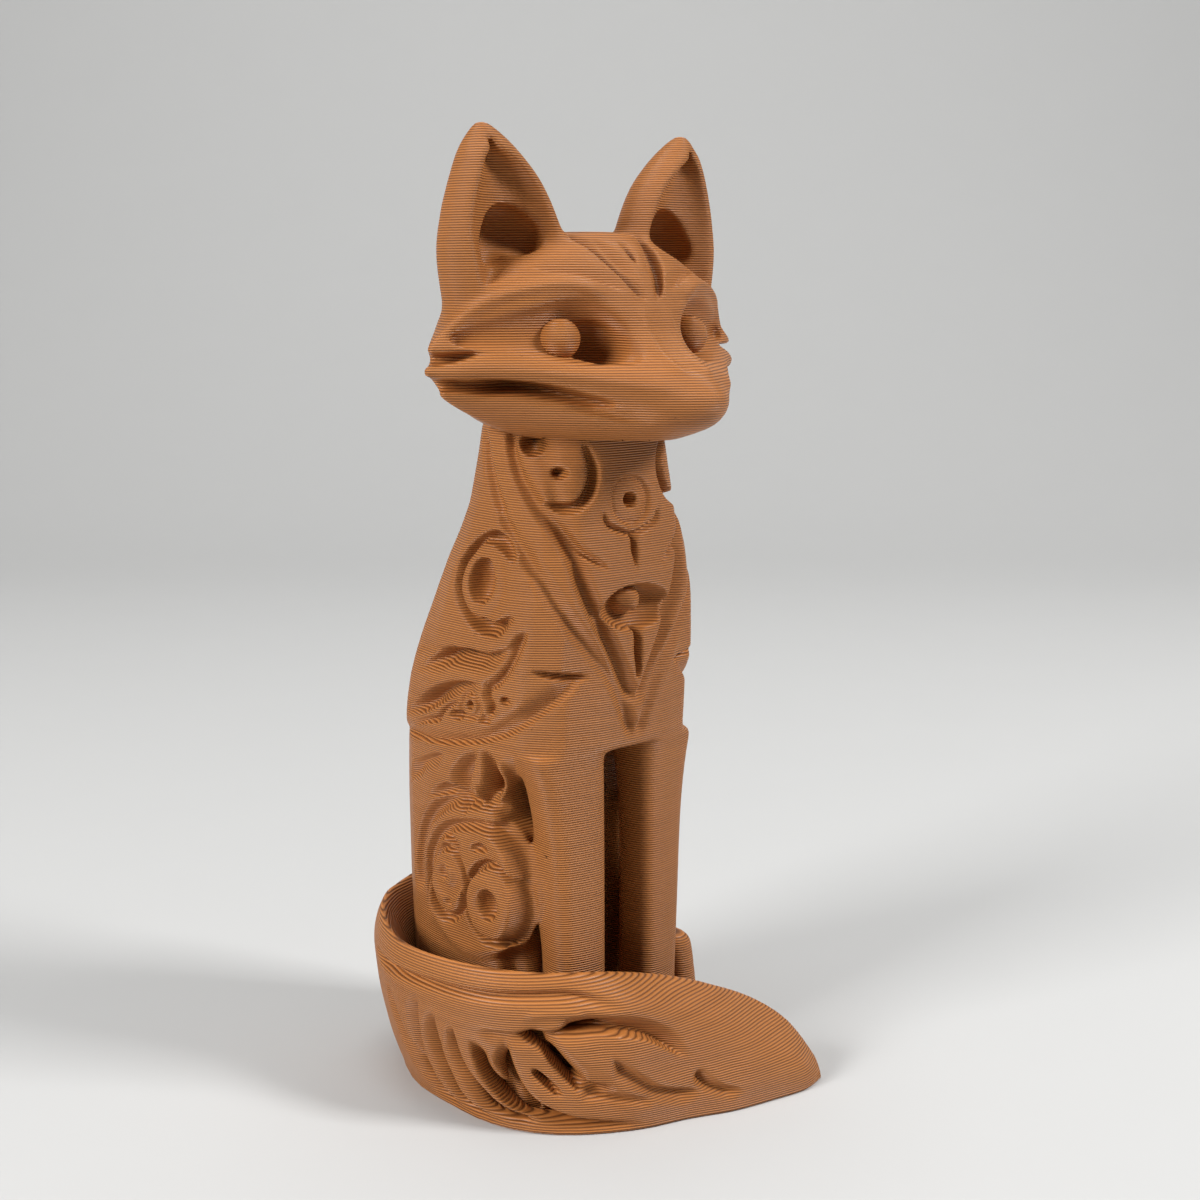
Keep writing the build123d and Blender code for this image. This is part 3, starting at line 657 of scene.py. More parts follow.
RING_SKIRT = ((-3.2, -11.6, 51.2), (-2.8, -11.7, 50.2), (-1.6, -11.8, 49.6), (0.0, -11.9, 49.1))
RING_STEM = ((0.0, -11.8, 49.4), (0.0, -12.0, 46.4))
GEM_SLOT = ((0.0, -11.9, 41.6), (0.0, -12.2, 39.3), (0.0, -12.4, 37.2))
TRENCH = ((-8.9, -6.9, 47.7), (-8.9, -5.8, 48.5), (-8.8, -4.4, 49.0), (-8.8, -2.6, 48.5),
          (-8.8, -0.9, 46.7), (-9.3, -0.7, 44.7), (-9.6, -1.8, 43.0), (-9.4, -3.4, 41.8),
          (-9.6, -5.8, 41.6), (-9.3, -7.2, 42.6))
TRENCH_TOP = ((-8.8, -2.9, 48.7), (-8.8, -4.6, 48.9), (-8.9, -6.0, 48.3), (-8.9, -7.0, 47.4))
TRENCH_FOOT = ((-9.5, -2.4, 42.4), (-9.5, -4.0, 41.7), (-9.6, -5.8, 41.6), (-9.3, -7.0, 42.6))
RING_RIM = ((-8.4, -7.0, 50.2), (-8.3, -4.8, 50.9), (-8.3, -2.2, 50.4), (-8.3, -0.2, 49.0),
            (-8.7, 0.6, 47.0), (-9.3, 0.3, 45.0), (-9.7, -0.7, 43.0), (-9.8, -2.3, 41.2))
FLAME_HIGH = ((-9.2, -7.9, 41.2), (-9.6, -6.8, 40.2), (-9.9, -5.0, 39.6), (-10.1, -2.5, 39.6),
              (-10.0, 0.4, 39.2), (-9.6, 2.8, 37.9), (-9.2, 4.8, 36.4))
FLAME_LOW = ((-9.9, -5.3, 36.4), (-10.0, -3.8, 36.8), (-10.2, -1.0, 36.6), (-10.0, 2.2, 35.5),
             (-9.3, 5.4, 33.5), (-8.6, 7.4, 31.8))
PANEL_EDGE = ((-9.0, -9.2, 42.0), (-9.3, -8.4, 39.9), (-9.5, -7.4, 38.2), (-9.7, -6.3, 36.9),
              (-9.9, -5.3, 36.2), (-9.9, -5.8, 35.2), (-9.9, -5.6, 34.4), (-10.0, -4.7, 33.8))
TAIL_STROKE = ((-9.5, 5.6, 31.6), (-9.7, 3.6, 32.3), (-9.9, 1.4, 32.9), (-10.0, 0.8, 33.8),
               (-9.9, -0.9, 34.8))
HEM_LINE = ((-8.2, 9.2, 30.2), (-9.3, 6.0, 30.1), (-10.0, 2.9, 30.3), (-10.0, 0.4, 30.6),
            (-10.0, -3.4, 31.3), (-9.6, -6.2, 32.2), (-9.0, -8.2, 33.3), (-7.9, -9.9, 34.8),
            (-6.5, -11.1, 36.4), (-4.9, -11.6, 38.2))
CHEST_SLIT_HIGH = ((-8.9, -9.3, 38.4), (-7.0, -10.8, 37.9), (-5.0, -11.6, 37.7))
CHEST_SLIT_LOW = ((-8.1, -10.1, 36.2), (-7.3, -10.6, 36.3), (-6.3, -11.2, 36.9))
LEAF_BACK = ((-9.6, -2.5, 30.2), (-9.6, -1.5, 28.9), (-9.7, -0.5, 27.6), (-9.7, -1.0, 26.7),
             (-9.7, -2.4, 25.9))
LEAF_FRONT = ((-9.6, -4.0, 30.5), (-9.5, -4.5, 29.3), (-9.6, -4.4, 27.8), (-9.6, -3.4, 26.2))
LEAF_SPINE = ((-9.7, -2.6, 30.4), (-9.7, -2.5, 28.5), (-9.7, -2.9, 27.0), (-9.7, -3.2, 25.4))
LEAF_EDGE = ((-9.4, -5.4, 30.6), (-9.4, -5.9, 29.0), (-9.4, -5.6, 27.2), (-9.5, -4.6, 25.4))
FLANK_NICK = ((-9.3, 3.4, 25.6), (-9.6, 1.4, 26.5), (-9.6, -0.2, 26.0), (-9.7, -1.4, 25.0))
FLANK_SWOOP = ((-8.9, 8.6, 25.4), (-9.2, 6.6, 28.0), (-9.9, 3.6, 29.3), (-9.9, 1.0, 29.9))
# Lines of the thighs are drawn as seen from the side, so their x says nothing.
THIGH_EDGE = ((0, 6.0, 16.0), (0, 5.7, 20.0), (0, 4.2, 23.2), (0, 0.6, 25.7), (0, -4.2, 26.2),
              (0, -7.6, 25.0), (0, -9.6, 22.0), (0, -9.9, 18.0), (0, -9.2, 14.0))
THIGH_RIM = ((0, 3.9, 14.4), (0, 4.3, 17.6), (0, 3.4, 20.6), (0, 1.6, 22.8), (0, -1.2, 23.9),
             (0, -4.8, 24.1), (0, -7.2, 22.6), (0, -8.1, 19.4), (0, -7.9, 16.4), (0, -6.6, 13.8))

# The fold where each flank turns in behind its foreleg: its upright axis and radius, the
# heights that it lies between, and how slowly it opens there
FOLD_X, FOLD_Y, FOLD_RADIUS = 11.0, -6.9, 2.8
FOLD_FOOT, FOLD_TOP, FOLD_FADE = 23.5, 30.8, 2.5
UNDERSIDE = 0.02            # height of the cut that keeps the underside flat


def carve_bib(relief, width, depth):
    """Band, neck scrolls, ring with its stem, and gem with its slot."""
    relief.valley(BAND_INNER, 1.9, 0.85, fade=0.06)
    relief.valley(BAND_OUTER, 1.9, 0.75, fade=0.05)
    relief.groove(BAND_SLIT, width * 0.8, depth, ends=0.05)
    scroll = (-6.3, -9.8, 54.5)
    relief.disc(scroll, (2.0, 2.3), 0.35, edge=0.6)
    relief.disc(scroll, (0.6, 0.42), -1.4, edge=0.2)
    relief.groove(SCROLL_TRENCH, width * 1.3, depth * 1.4, ends=0.3)
    relief.bowl((-7.6, -7.6, 56.8), (1.3, 1.0), -1.4)
    ring = (0.0, -11.4, 52.0)
    relief.disc(ring, (2.15, 2.05), -0.3, edge=0.35)
    relief.disc(ring, (1.8, 1.75), 0.5, edge=0.4)
    relief.disc(ring, (0.62, 0.58), -1.4, edge=0.2)
    relief.groove(RING_SKIRT, width * 0.7, depth * 0.7, ends=0.3)
    relief.groove(RING_STEM, width * 0.55, depth * 0.9, ends=0.1)
    gem = (0.0, -12.0, 43.1)
    relief.bowl(gem, (3.5, 1.9), -1.9)
    relief.bowl((0.0, -12.0, 43.5), (1.7, 1.1), 1.7)
    relief.groove(GEM_SLOT, width * 0.8, depth * 1.2, ends=0.5)


def carve_mantle(relief, width, depth):
    """Great ring, flame strokes, small ring and hem of the shoulders."""
    relief.valley(RING_RIM, 1.3, -0.42, fade=0.12)
    relief.groove(TRENCH, width, depth, ends=0.6)
    relief.groove(TRENCH_TOP, width * 1.7, depth * 1.5, ends=0.1)
    relief.groove(TRENCH_FOOT, width * 1.7, depth * 1.5, ends=0.1)
    relief.bowl((-8.9, -3.7, 45.3), (2.4, 3.0), 0.3)
    relief.bowl((-8.9, -3.6, 45.4), (1.55, 1.9), -1.6)
    relief.ledge(FLAME_HIGH, 2.3, depth * 1.5, high_side=1)
    relief.ledge(FLAME_LOW, 1.9, depth * 1.35, high_side=1)
    relief.ledge(PANEL_EDGE, 1.2, depth * 1.1, high_side=-1, fade=0.12)
    relief.groove(TAIL_STROKE, width * 0.8, depth * 0.8)
    small = (-9.9, -2.6, 34.7)
    relief.disc(small, (1.5, 1.25), -0.45, edge=0.35)
    relief.disc(small, (1.0, 0.85), 0.5, edge=0.3)
    relief.disc(small, (0.4, 0.28), -0.9, edge=0.15)
    relief.bowl((-9.9, -1.0, 33.6), (0.9, 0.4), -1.1)
    relief.bowl((-9.8, -4.3, 33.7), (0.7, 0.4), -0.9)
    relief.bowl((-9.7, -6.8, 35.7), (0.42, 0.3), -0.9)
    relief.ledge(HEM_LINE, 2.2, 0.85, high_side=1, fade=0.08, wall=0.4)


def carve_flank(relief, width, depth):
    """Leaves between the hem and the thigh, and slits on the chest."""
    relief.groove(CHEST_SLIT_HIGH, width * 0.75, depth * 1.3, ends=0.05)
    relief.groove(CHEST_SLIT_LOW, width * 0.45, depth * 0.6, ends=0.05)
    relief.groove(LEAF_BACK, 2.0, depth * 1.6, ends=0.15, wall=0.8)
    relief.groove(LEAF_FRONT, 1.7, depth * 1.6, ends=0.3, wall=0.8)
    relief.valley(LEAF_SPINE, 0.9, -0.3)
    relief.valley(LEAF_EDGE, 1.3, -0.4)
    relief.groove(FLANK_NICK, width * 1.4, depth * 1.3, ends=0.1)
    relief.ledge(FLANK_SWOOP, 2.0, depth * 0.8, high_side=-1)


def carve_thigh(relief, width):
    """Rolled rim and the two ring medallions of the thighs, drawn as seen from the side."""
    big, small = (0, -4.9, 17.7), (0, 1.0, 18.2)
    relief.valley(THIGH_EDGE, 2.0, 1.1, fade=0.05)
    relief.valley(THIGH_RIM, 1.6, 1.0, fade=0.05)
    relief.disc(small, (2.7, 3.4), -1.1, edge=0.4)
    relief.disc(small, (2.1, 2.75), 1.5, edge=0.8)
    relief.disc(big, (3.4, 3.75), -1.1, edge=0.4)
    relief.disc(big, (2.75, 3.1), 1.6, edge=0.8)
    relief.bowl(big, (1.3, 1.35), -1.4)
    relief.bowl((0, 1.7, 19.1), (0.8, 0.8), -0.9)
    relief.bowl((0, 0.8, 17.8), (0.4, 0.35), -0.6)
    relief.bowl((0, 0.8, 16.6), (0.4, 0.35), -0.6)
    relief.groove(((0, 2.8, 21.8), (0, 1.4, 22.5), (0, -0.1, 22.0), (0, -0.8, 21.2)), width, 1.1)
    relief.groove(((0, -2.2, 21.9), (0, -3.2, 22.3), (0, -4.4, 22.3)), width * 0.9, 1.0)


class FOX_OT_trunk(bpy.types.Operator):
    """Sculpt torso, coat, thighs and forelegs from one block, with the ornament carved into them"""

    bl_idname = "fox.trunk"
    bl_label = "Trunk And Coat"

    def execute(self, context):
        names = ("torso", "bib", "left_mantle", "right_mantle", "left_foreleg", "right_foreleg",
                 "left_haunch", "right_haunch")
        forms = [solid(name) for name in names]
        clay = Clay(forms, TRUNK_GRAIN)
        fields = [clay.of_form(form) for form in forms]
        block = clay.of_lump(fields)
        x, y, z = clay.axes()
        # the flank turns in behind the foreleg
        radius = FOLD_RADIUS * step_up((FOLD_TOP - z) / FOLD_FADE) * step_up((z - FOLD_FOOT) / FOLD_FADE)
        fold = np.hypot(np.abs(x) - FOLD_X, y - FOLD_Y) - radius
        block = smooth_max(block, -fold, 0.8)
        block = smooth_max(block, UNDERSIDE - z, UNDERSIDE)
        rounded = clay.softened(block, TRUNK_ROUNDING)
        foot = step_up(z / BODY_RISE)
        clay.field = (rounded * foot + block * (1 - foot)).astype(np.float32)
        width = context.scene.fox_sizes.groove / MM
        depth = context.scene.fox_sizes.carve / MM
        relief = Relief(clay, BODY_MAP)
        carve_bib(relief, width, depth)
        carve_mantle(relief, width, depth)
        carve_flank(relief, width, depth)
        # the coat is kept off the forelegs and thighs
        relief.press(keep=step_up((relief.z - 23) / 2))
        relief = Relief(clay, from_side)
        carve_thigh(relief, width)
        # the rings are kept off the inner sides of the legs and off the coat
        relief.press(keep=step_up(np.abs(relief.x) - 7.5) * step_up((27.5 - relief.z) / 2))
        clay.field = clay.softened(clay.field, TRUNK_FINISH)
        for name, part in zip(names, clay.parted(fields)):
            clay.piece(f"{name}_skin", (name,), part, TRUNK_THINNING)
        return {"FINISHED"}


# Hind feet

KNEE_HEIGHT = 11.4
TOE_LINES = (8.1, 9.6)      # how far in front of the origin the lines between the toes start


class FOX_OT_hind_feet(bpy.types.Operator):
    """Sculpt the long hind feet that rise to the knees"""

    bl_idname = "fox.hind_feet"
    bl_label = "Hind Feet"

    def execute(self, context):
        for side in ("left", "right"):
            form = solid(f"{side}_hind_foot")
            clay = Clay([form], FOOT_GRAIN)
            whole = clay.of_form(form)
            height = clay.axes()[2]
            foot = step_up(height / FOOT_RISE)
            clay.field = clay.softened(whole, FOOT_ROUNDING) * foot + whole * (1 - foot)
            clay.field = smooth_max(clay.field, height - KNEE_HEIGHT, 1.0).astype(np.float32)
            relief = Relief(clay, from_side)
            for front in TOE_LINES:
                line = ((0, -front, 4.2), (0, -front - 0.4, 2.0), (0, -front - 0.5, 0.4))
                relief.valley(line, 0.9, 0.45)
            relief.press()
            clay.piece(f"{side}_hind_foot_skin", (f"{side}_hind_foot",))
        return {"FINISHED"}


# Brush

# Each flute is a line down the outer wall with its width, its depth and its high side, which
# is 1 where the clay towards the tip stands higher.
BRUSH_FLUTES = (
    (((-14.9, 3.9, 9.9), (-15.3, 2.6, 7.9), (-15.4, 0.8, 4.7), (-14.9, -1.8, 1.6)), 1.7, 0.5, 1),
    (((-15.7, -1.9, 10.6), (-16.0, -1.0, 7.9), (-15.5, -1.1, 4.2), (-14.5, -3.5, 1.3),
      (-14.1, -7.4, 0.3)), 1.9, 0.8, 1),
    (((-15.8, -3.7, 9.6), (-16.0, -3.3, 7.4), (-15.6, -4.0, 4.5), (-14.5, -6.6, 1.5),
      (-12.9, -11.1, 0.5)), 1.8, 0.85, 1),
    (((-15.7, -5.7, 9.2), (-15.4, -6.5, 5.8), (-14.5, -8.7, 3.1), (-13.4, -10.5, 1.9),
      (-11.0, -13.5, 0.8)), 1.9, 0.9, 1),
    (((-15.4, -7.5, 8.0), (-14.9, -8.4, 4.7), (-13.5, -10.5, 2.3),
      (-11.6, -13.0, 1.3)), 1.3, 0.9, -1),
    (((-13.8, -11.0, 8.8), (-13.4, -11.3, 5.8), (-12.3, -12.5, 3.4), (-10.3, -14.4, 1.9),
      (-7.5, -16.3, 1.2), (-3.4, -17.9, 0.6)), 2.1, 1.05, 1),
    (((-13.4, -11.3, 8.8), (-11.9, -12.9, 7.4), (-10.4, -14.5, 5.1),
      (-9.3, -15.4, 3.4)), 1.6, 1.0, -1),
    (((-11.3, -13.5, 8.2), (-9.9, -14.8, 5.9), (-8.6, -15.9, 4.6),
      (-6.6, -17.1, 4.2)), 1.2, 0.8, 1),
    (((-11.4, -13.3, 8.4), (-8.0, -16.0, 8.6), (-4.7, -17.8, 7.9), (-2.6, -18.4, 6.8),
      (-0.4, -19.0, 5.2)), 1.6, 1.1, -1),
    (((-7.2, -16.7, 7.0), (-4.2, -18.1, 4.3), (-2.7, -18.5, 3.4), (0.9, -19.6, 2.5)), 1.4, 0.7, 1),
    (((0.5, -19.3, 4.5), (1.9, -20.0, 2.9), (4.3, -20.7, 1.8)), 1.1, 0.6, 1),
    (((-15.4, -7.6, 8.9), (-12.2, -12.5, 9.0), (-7.9, -15.9, 9.6),
      (-5.6, -17.2, 10.0)), 1.3, 0.45, 1),
)
BRUSH_CREASE = ((-13.2, 8.0, 12.0), (-14.4, 4.7, 11.2), (-15.7, -0.7, 11.4), (-15.0, -7.4, 11.6),
                (-11.8, -12.0, 11.7), (-8.6, -14.3, 11.5), (-5.0, -17.2, 10.2))
BRUSH_SLOT = ((-12.2, -12.7, 5.5), (-10.8, -14.2, 3.7))
BRUSH_FLAKE = ((-12.6, -11.8, 10.4), (-9.9, -14.1, 10.6), (-8.6, -15.3, 10.2))
BRUSH_HOLLOW = ((-9.5, -15.2, 3.3), (-7.7, -16.5, 3.4), (-3.8, -18.1, 2.3))
FLUTE_WIDER, FLUTE_DEEPER = 1.25, 1.45      # all flutes against the widths and depths above
TIP_START, TIP_LENGTH = 5.0, 6.0            # where along x the brush thins out to its sharper tip


class FOX_OT_brush(bpy.types.Operator):
    """Sculpt the brush with its feathered flutes and the crease under its shoulder"""

    bl_idname = "fox.brush"
    bl_label = "Brush"

    def execute(self, context):
        width = context.scene.fox_sizes.groove / MM
        form = solid("brush")
        clay = Clay([form], BRUSH_GRAIN)
        whole = clay.of_form(form)
        x, _, z = clay.axes()
        tip = step_up((x - TIP_START) / TIP_LENGTH)
        foot = step_up(z / BODY_RISE)
        shaped = clay.softened(whole, BRUSH_ROUNDING) * (1 - tip) + clay.softened(whole, TIP_ROUNDING) * tip
        clay.field = (shaped * foot + whole * (1 - foot)).astype(np.float32)
        relief = Relief(clay, round_the_feet)
        for line, reach, depth, high_side in BRUSH_FLUTES:
            relief.ledge(line, FLUTE_WIDER * reach, FLUTE_DEEPER * depth, high_side=high_side, fade=0.2)
        relief.valley(BRUSH_CREASE, 1.3, 0.65)
        relief.groove(BRUSH_SLOT, width * 0.8, 1.4, ends=0.6)
        relief.valley(BRUSH_FLAKE, 0.9, -0.35)
        relief.valley(BRUSH_HOLLOW, 1.2, 0.5)
        relief.press(keep=step_up(relief.z / 1.8))
        clay.field = clay.softened(clay.field, BRUSH_FINISH)
        clay.piece("brush_skin", ("brush",))
        return {"FINISHED"}


# Head

# height, half width, muzzle and skull, then the bend of the outline in front and behind,
# all as shares of the head's own sizes
HEAD_SHARES = (
    (0.00, 0.36, 0.62, 0.72, 0.10, 0.40, 0.40, 0.00, 0.50, 0.50),
    (0.08, 0.62, 0.88, 0.90, 0.22, 0.36, 0.30, 0.10, 0.45, 0.45),
    (0.20, 0.88, 1.00, 0.97, 0.36, 0.30, 0.17, 0.25, 0.40, 0.40),
    (0.31, 1.00, 0.89, 1.00, 0.36, 0.30, 0.17, 0.25, 0.40, 0.45),
    (0.39, 1.00, 0.72, 1.00, 0.34, 0.32, 0.20, 0.25, 0.40, 0.45),
    (0.46, 0.98, 0.62, 1.00, 0.28, 0.34, 0.24, 0.20, 0.42, 0.48),
    (0.54, 0.89, 0.55, 1.00, 0.20, 0.38, 0.30, 0.12, 0.46, 0.52),
    (0.67, 0.75, 0.49, 0.96, 0.04, 0.50, 0.45, 0.00, 0.50, 0.55),
    (0.80, 0.61, 0.41, 0.86, 0.00, 0.55, 0.55, 0.00, 0.55, 0.55),
    (0.93, 0.38, 0.28, 0.64, 0.00, 0.55, 0.55, 0.00, 0.55, 0.55),
    (1.00, 0.15, 0.14, 0.40, 0.00, 0.55, 0.55, 0.00, 0.55, 0.55),
)
# height, width, thickness and spread, as shares of the ear's own sizes
EAR_SHARES = (
    (0.00, 0.93, 1.00, 0.75),
    (0.34, 1.00, 1.00, 0.80),
    (0.55, 0.87, 0.95, 0.84),
    (0.73, 0.66, 0.84, 0.88),
    (0.87, 0.42, 0.60, 0.94),
    (0.96, 0.20, 0.32, 0.98),
    (1.00, 0.07, 0.12, 1.00),
)
# Chains of balls at |x|, y, z with a radius, for the hollows of the face
EAR_PIT = ((7.6, -6.6, 73.4, 1.6), (9.2, -5.6, 74.0, 2.0), (10.6, -6.2, 72.6, 1.5))
SOCKET = ((15.0, -7.2, 65.4, 0.5), (12.4, -9.9, 65.9, 1.3), (9.7, -12.0, 66.1, 2.1),
          (7.4, -13.2, 66.1, 2.6), (5.4, -14.2, 65.5, 2.2), (4.0, -15.3, 64.6, 1.2))
TEAR_POCKET = ((6.4, -11.0, 64.8, 0.9), (4.9, -11.4, 65.0, 1.8), (4.1, -13.2, 64.6, 1.3))
MOUTH = ((18.9, -5.4, 62.1, 2.4), (16.7, -7.0, 61.9, 2.4), (14.2, -9.2, 61.8, 2.3),
         (12.5, -10.7, 61.8, 2.0), (10.6, -12.4, 61.6, 1.5), (9.1, -13.9, 61.1, 0.9),
         (7.5, -15.3, 60.6, 0.4))
NOTCH = ((18.9, -5.4, 63.9, 2.4), (16.6, -7.3, 63.9, 2.2), (14.7, -8.6, 64.15, 1.4),
         (13.2, -9.7, 64.2, 0.6))
MOUTH_FLAT, NOTCH_FLAT = 4.4, 4.6      # how many times lower than round these two are
# Lines of the face, on the fox's right
LIP_LINE = ((-17.4, -6.9, 62.7), (-14.1, -9.1, 63.3), (-11.6, -10.9, 63.3), (-9.2, -12.9, 62.9),
            (-6.9, -15.1, 62.4), (-4.2, -17.9, 61.9), (-1.8, -19.9, 61.5))
LIP_FOLD = ((-16.0, -7.8, 61.6), (-12.5, -10.7, 61.5), (-9.1, -13.9, 60.8), (-6.3, -16.7, 60.0),
            (-3.4, -19.0, 59.3))
BROW_LINE = ((-16.8, -6.9, 65.3), (-14.3, -7.3, 67.0), (-12.4, -8.6, 68.4), (-9.8, -10.6, 69.5),
             (-6.8, -12.4, 69.7), (-4.2, -13.9, 68.6))
BRIDGE_LINE = ((-1.4, -14.6, 68.0), (-1.5, -15.6, 66.0), (-1.6, -17.4, 64.0), (-1.6, -19.6, 62.4))
JAW_CRACK = ((-9.3, -13.6, 60.2), (-7.0, -15.1, 59.8), (-6.1, -16.7, 59.4), (-4.2, -18.0, 59.0))
# Line, width and depth of the brow grooves, drawn as seen from above, so their z says nothing
BROW_GROOVES = (
    (((-3.9, -8.2, 0), (-2.8, -11.2, 0), (-1.9, -12.6, 0), (-0.6, -13.9, 0)), 0.8, 0.8),
    (((-2.6, -9.6, 0), (-1.7, -11.6, 0), (-0.9, -12.8, 0)), 0.5, 0.5),
    (((0.0, -10.4, 0), (0.0, -12.0, 0)), 0.5, 0.5),
    (((-8.9, -9.4, 0), (-7.3, -10.7, 0), (-5.2, -11.9, 0), (-2.6, -13.3, 0)), 0.6, 0.35),
)


def head_form():
    """The whole head, from the chin to the crown, with its cheeks drawn out to points."""
    half_width, cheek_line, muzzle_length, skull_depth, bottom, rise = 17.7, -6.7, 15.0, 10.3, 57.2, 16.7
    levels = []
    for row in finer(HEAD_SHARES, 6):
        height, width, muzzle, skull = row[:4]
        front, back = cheek_line - muzzle_length * muzzle, cheek_line + skull_depth * skull
        level = outline(half_width * width, cheek_line, front, back, row[4:7], row[7:10])
        levels.append(np.column_stack([level, np.full(len(level), bottom + rise * height)]))
    return skin_over(levels)


def ear_form(wall, root, forward):
    """The fox's left ear, or with a wall its hollow, as a stack of ovals up to the tip."""
    tip_height, half_width, half_depth, spread_out, reach, point = 82.2, 6.05, 3.4, 11.3, -6.2, 0.3
    oval, turn = (0, 0.55, 0.55), math.radians(6)
    levels = []
    for height, width, thickness, spread in finer(EAR_SHARES, 6):
        wide = max(half_width * width - wall, point)
        depth = max(half_depth * thickness, point)
        middle = -forward * thickness
        level = outline(wide, middle, middle - depth, middle + depth, oval, oval)
        x = level[:, 0] * math.cos(turn) - level[:, 1] * math.sin(turn) + spread_out * spread
        y = level[:, 0] * math.sin(turn) + level[:, 1] * math.cos(turn) + reach
        levels.append(np.column_stack([x, y, np.full(len(x), root + (tip_height - wall - root) * height)]))
    return skin_over(levels)


def ball_chain(axes, balls, flat):
    """Distances to a chain of balls on both sides of the face, flattened from above by a factor."""
    x, y, z = axes
    x, z = np.abs(x), z * flat
    balls = finer(balls, 4)
    best = None
    for (x0, y0, z0, r0), (x1, y1, z1, r1) in zip(balls[:-1], balls[1:]):
        z0, z1 = z0 * flat, z1 * flat
        dx, dy, dz = x1 - x0, y1 - y0, z1 - z0
        t = np.clip(((x - x0) * dx + (y - y0) * dy + (z - z0) * dz) / (dx * dx + dy * dy + dz * dz), 0, 1)
        middle = np.sqrt((x - x0 - t * dx) ** 2 + (y - y0 - t * dy) ** 2 + (z - z0 - t * dz) ** 2)
        far = middle - (r0 + (r1 - r0) * t)
        best = far if best is None else np.minimum(best, far)
    return best / flat


EAR_ROOT, HOLLOW_ROOT = 66.0, 69.6
EAR_WALL = 1.3
HOLLOW_FORWARD = 3.6        # how far the hollow lies in front of the ear's own middle


class FOX_OT_head(bpy.types.Operator):
    """Sculpt head, jaw and ears from one block, with sockets, lips, tufts and brow grooves"""

    bl_idname = "fox.head"
    bl_label = "Head And Ears"

    def execute(self, context):
        names = ("head", "jaw", "left_ear", "right_ear")
        ear, hollow = ear_form(0.0, EAR_ROOT, 0.0), ear_form(EAR_WALL, HOLLOW_ROOT, HOLLOW_FORWARD)
        clay = Clay([head_form(), ear, mirrored(ear)], HEAD_GRAIN)
        axes = clay.axes()
        ears = np.minimum(clay.of_form(ear), clay.of_form(mirrored(ear)))
        hollows = np.minimum(clay.of_form(hollow), clay.of_form(mirrored(hollow)))
        ears = smooth_max(ears, -hollows, 0.6)
        field = smooth_min(clay.of_form(head_form()), ears, 1.0)
        for balls, flat, fillet in (
                (EAR_PIT, 1.0, 0.5), (SOCKET, 1.0, 0.7), (TEAR_POCKET, 1.0, 0.7),
                (MOUTH, MOUTH_FLAT, 0.1), (NOTCH, NOTCH_FLAT, 0.1)):
            field = smooth_max(field, -ball_chain(axes, balls, flat), fillet)
        clay.field = clay.softened(field.astype(np.float32), HEAD_ROUNDING)
        relief = Relief(clay, FACE_MAP)
        relief.valley(LIP_LINE, 2.4, -0.45)
        relief.valley(LIP_FOLD, 2.2, 0.5)
        relief.valley(BROW_LINE, 1.7, -0.5)
        relief.valley(BRIDGE_LINE, 1.6, -0.2)
        relief.groove(JAW_CRACK, 0.5, 0.6)
        # the folds are kept to the face, off the ears and the back
        relief.press(keep=step_up((relief.y + 3.0) / -2.0) * step_up((71.5 - relief.z) / 1.5))
        relief = Relief(clay, from_above)
        for line, width, depth in BROW_GROOVES:
            relief.groove(line, 1.2 * width, 1.5 * depth, ends=0.1)
        # the brow grooves are kept to the crown
        relief.press(keep=step_up(relief.z - 68.0))
        clay.field = clay.softened(clay.field, HEAD_FINISH)
        fields = [clay.of_form(solid(name)) for name in names]
        for name, part in zip(names, clay.parted(fields)):
            clay.piece(f"{name}_skin", (name,), part, HEAD_THINNING)
        return {"FINISHED"}


EYE_CUT = 0.8               # how far behind its centre an eyeball is cut flat, as a share of its radius


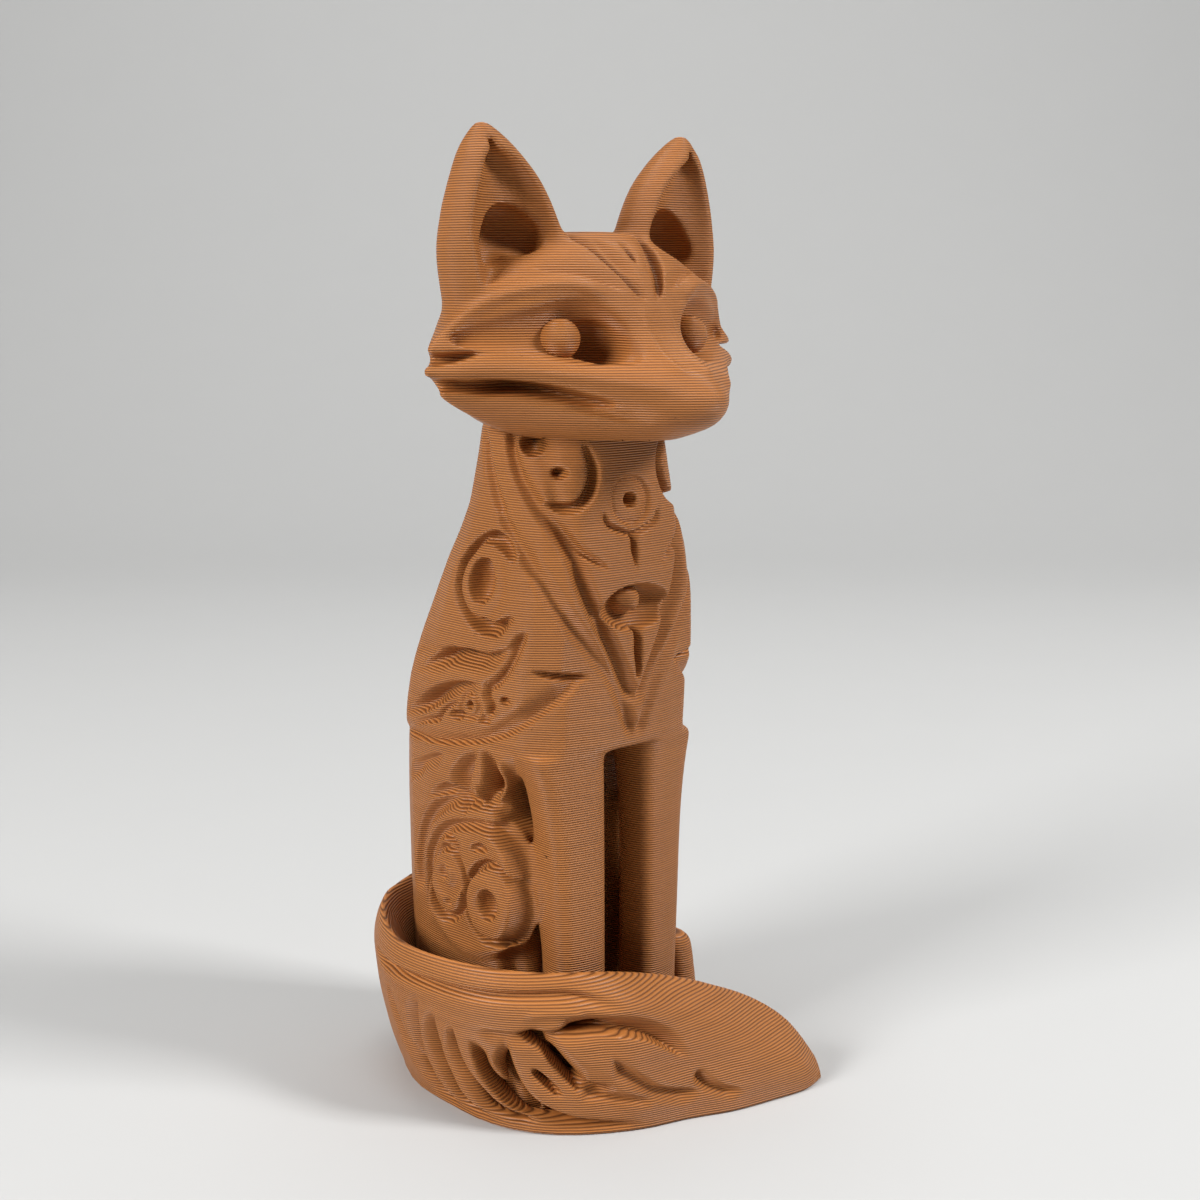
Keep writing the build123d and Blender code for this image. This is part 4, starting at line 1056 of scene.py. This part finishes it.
class FOX_OT_eyes(bpy.types.Operator):
    """Model the two round eyeballs, cut flat where they grow out of the head"""

    bl_idname = "fox.eyes"
    bl_label = "Eyes"

    def execute(self, context):
        radius = context.scene.fox_sizes.eye
        for name in ("left_eye", "right_eye"):
            low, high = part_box(name)
            centre = Vector(((low[0] + high[0]) / 2, low[1] + radius, (low[2] + high[2]) / 2))
            bpy.ops.object.select_all(action="DESELECT")
            bpy.ops.mesh.primitive_uv_sphere_add(segments=64, ring_count=40, radius=radius, location=centre)
            eye = context.object
            eye.name = f"{name}_ball"
            eye.data.name = eye.name
            bpy.ops.object.transform_apply(location=True, rotation=True, scale=True)
            bpy.ops.object.mode_set(mode="EDIT")
            bpy.ops.mesh.select_all(action="SELECT")
            bpy.ops.mesh.bisect(
                plane_co=(centre.x, centre.y + EYE_CUT * radius, centre.z), plane_no=(0, 1, 0),
                use_fill=True, clear_outer=True)
            bpy.ops.object.mode_set(mode="OBJECT")
            bpy.ops.object.shade_smooth()
            eye.data.materials.append(printed_plastic())
            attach(eye, "root")
            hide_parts(name)
        return {"FINISHED"}


class FOX_PT_figurine(bpy.types.Panel):
    """The fox figurine's sizes, colours and pieces"""

    bl_idname = "FOX_PT_figurine"
    bl_label = "Fox Figurine"
    bl_space_type = "VIEW_3D"
    bl_region_type = "UI"
    bl_category = "Fox"

    def draw(self, context):
        for group in (context.scene.fox_sizes, context.scene.fox_colours):
            for name in group.__annotations__:
                self.layout.prop(group, name)
        for step in STEPS:
            self.layout.operator(step.bl_idname)


STEPS = (FOX_OT_stage, FOX_OT_trunk, FOX_OT_hind_feet, FOX_OT_brush, FOX_OT_head, FOX_OT_eyes)
CLASSES = (FoxSizes, FoxColours, *STEPS, FOX_PT_figurine)


def register():
    for kind in CLASSES:
        bpy.utils.register_class(kind)
    bpy.types.Scene.fox_sizes = bpy.props.PointerProperty(type=FoxSizes)
    bpy.types.Scene.fox_colours = bpy.props.PointerProperty(type=FoxColours)


def unregister():
    del bpy.types.Scene.fox_colours
    del bpy.types.Scene.fox_sizes
    for kind in reversed(CLASSES):
        bpy.utils.unregister_class(kind)


def main():
    register()
    for step in STEPS:
        group, name = step.bl_idname.split(".")
        getattr(getattr(bpy.ops, group), name)()


if __name__ == "__main__":
    main()
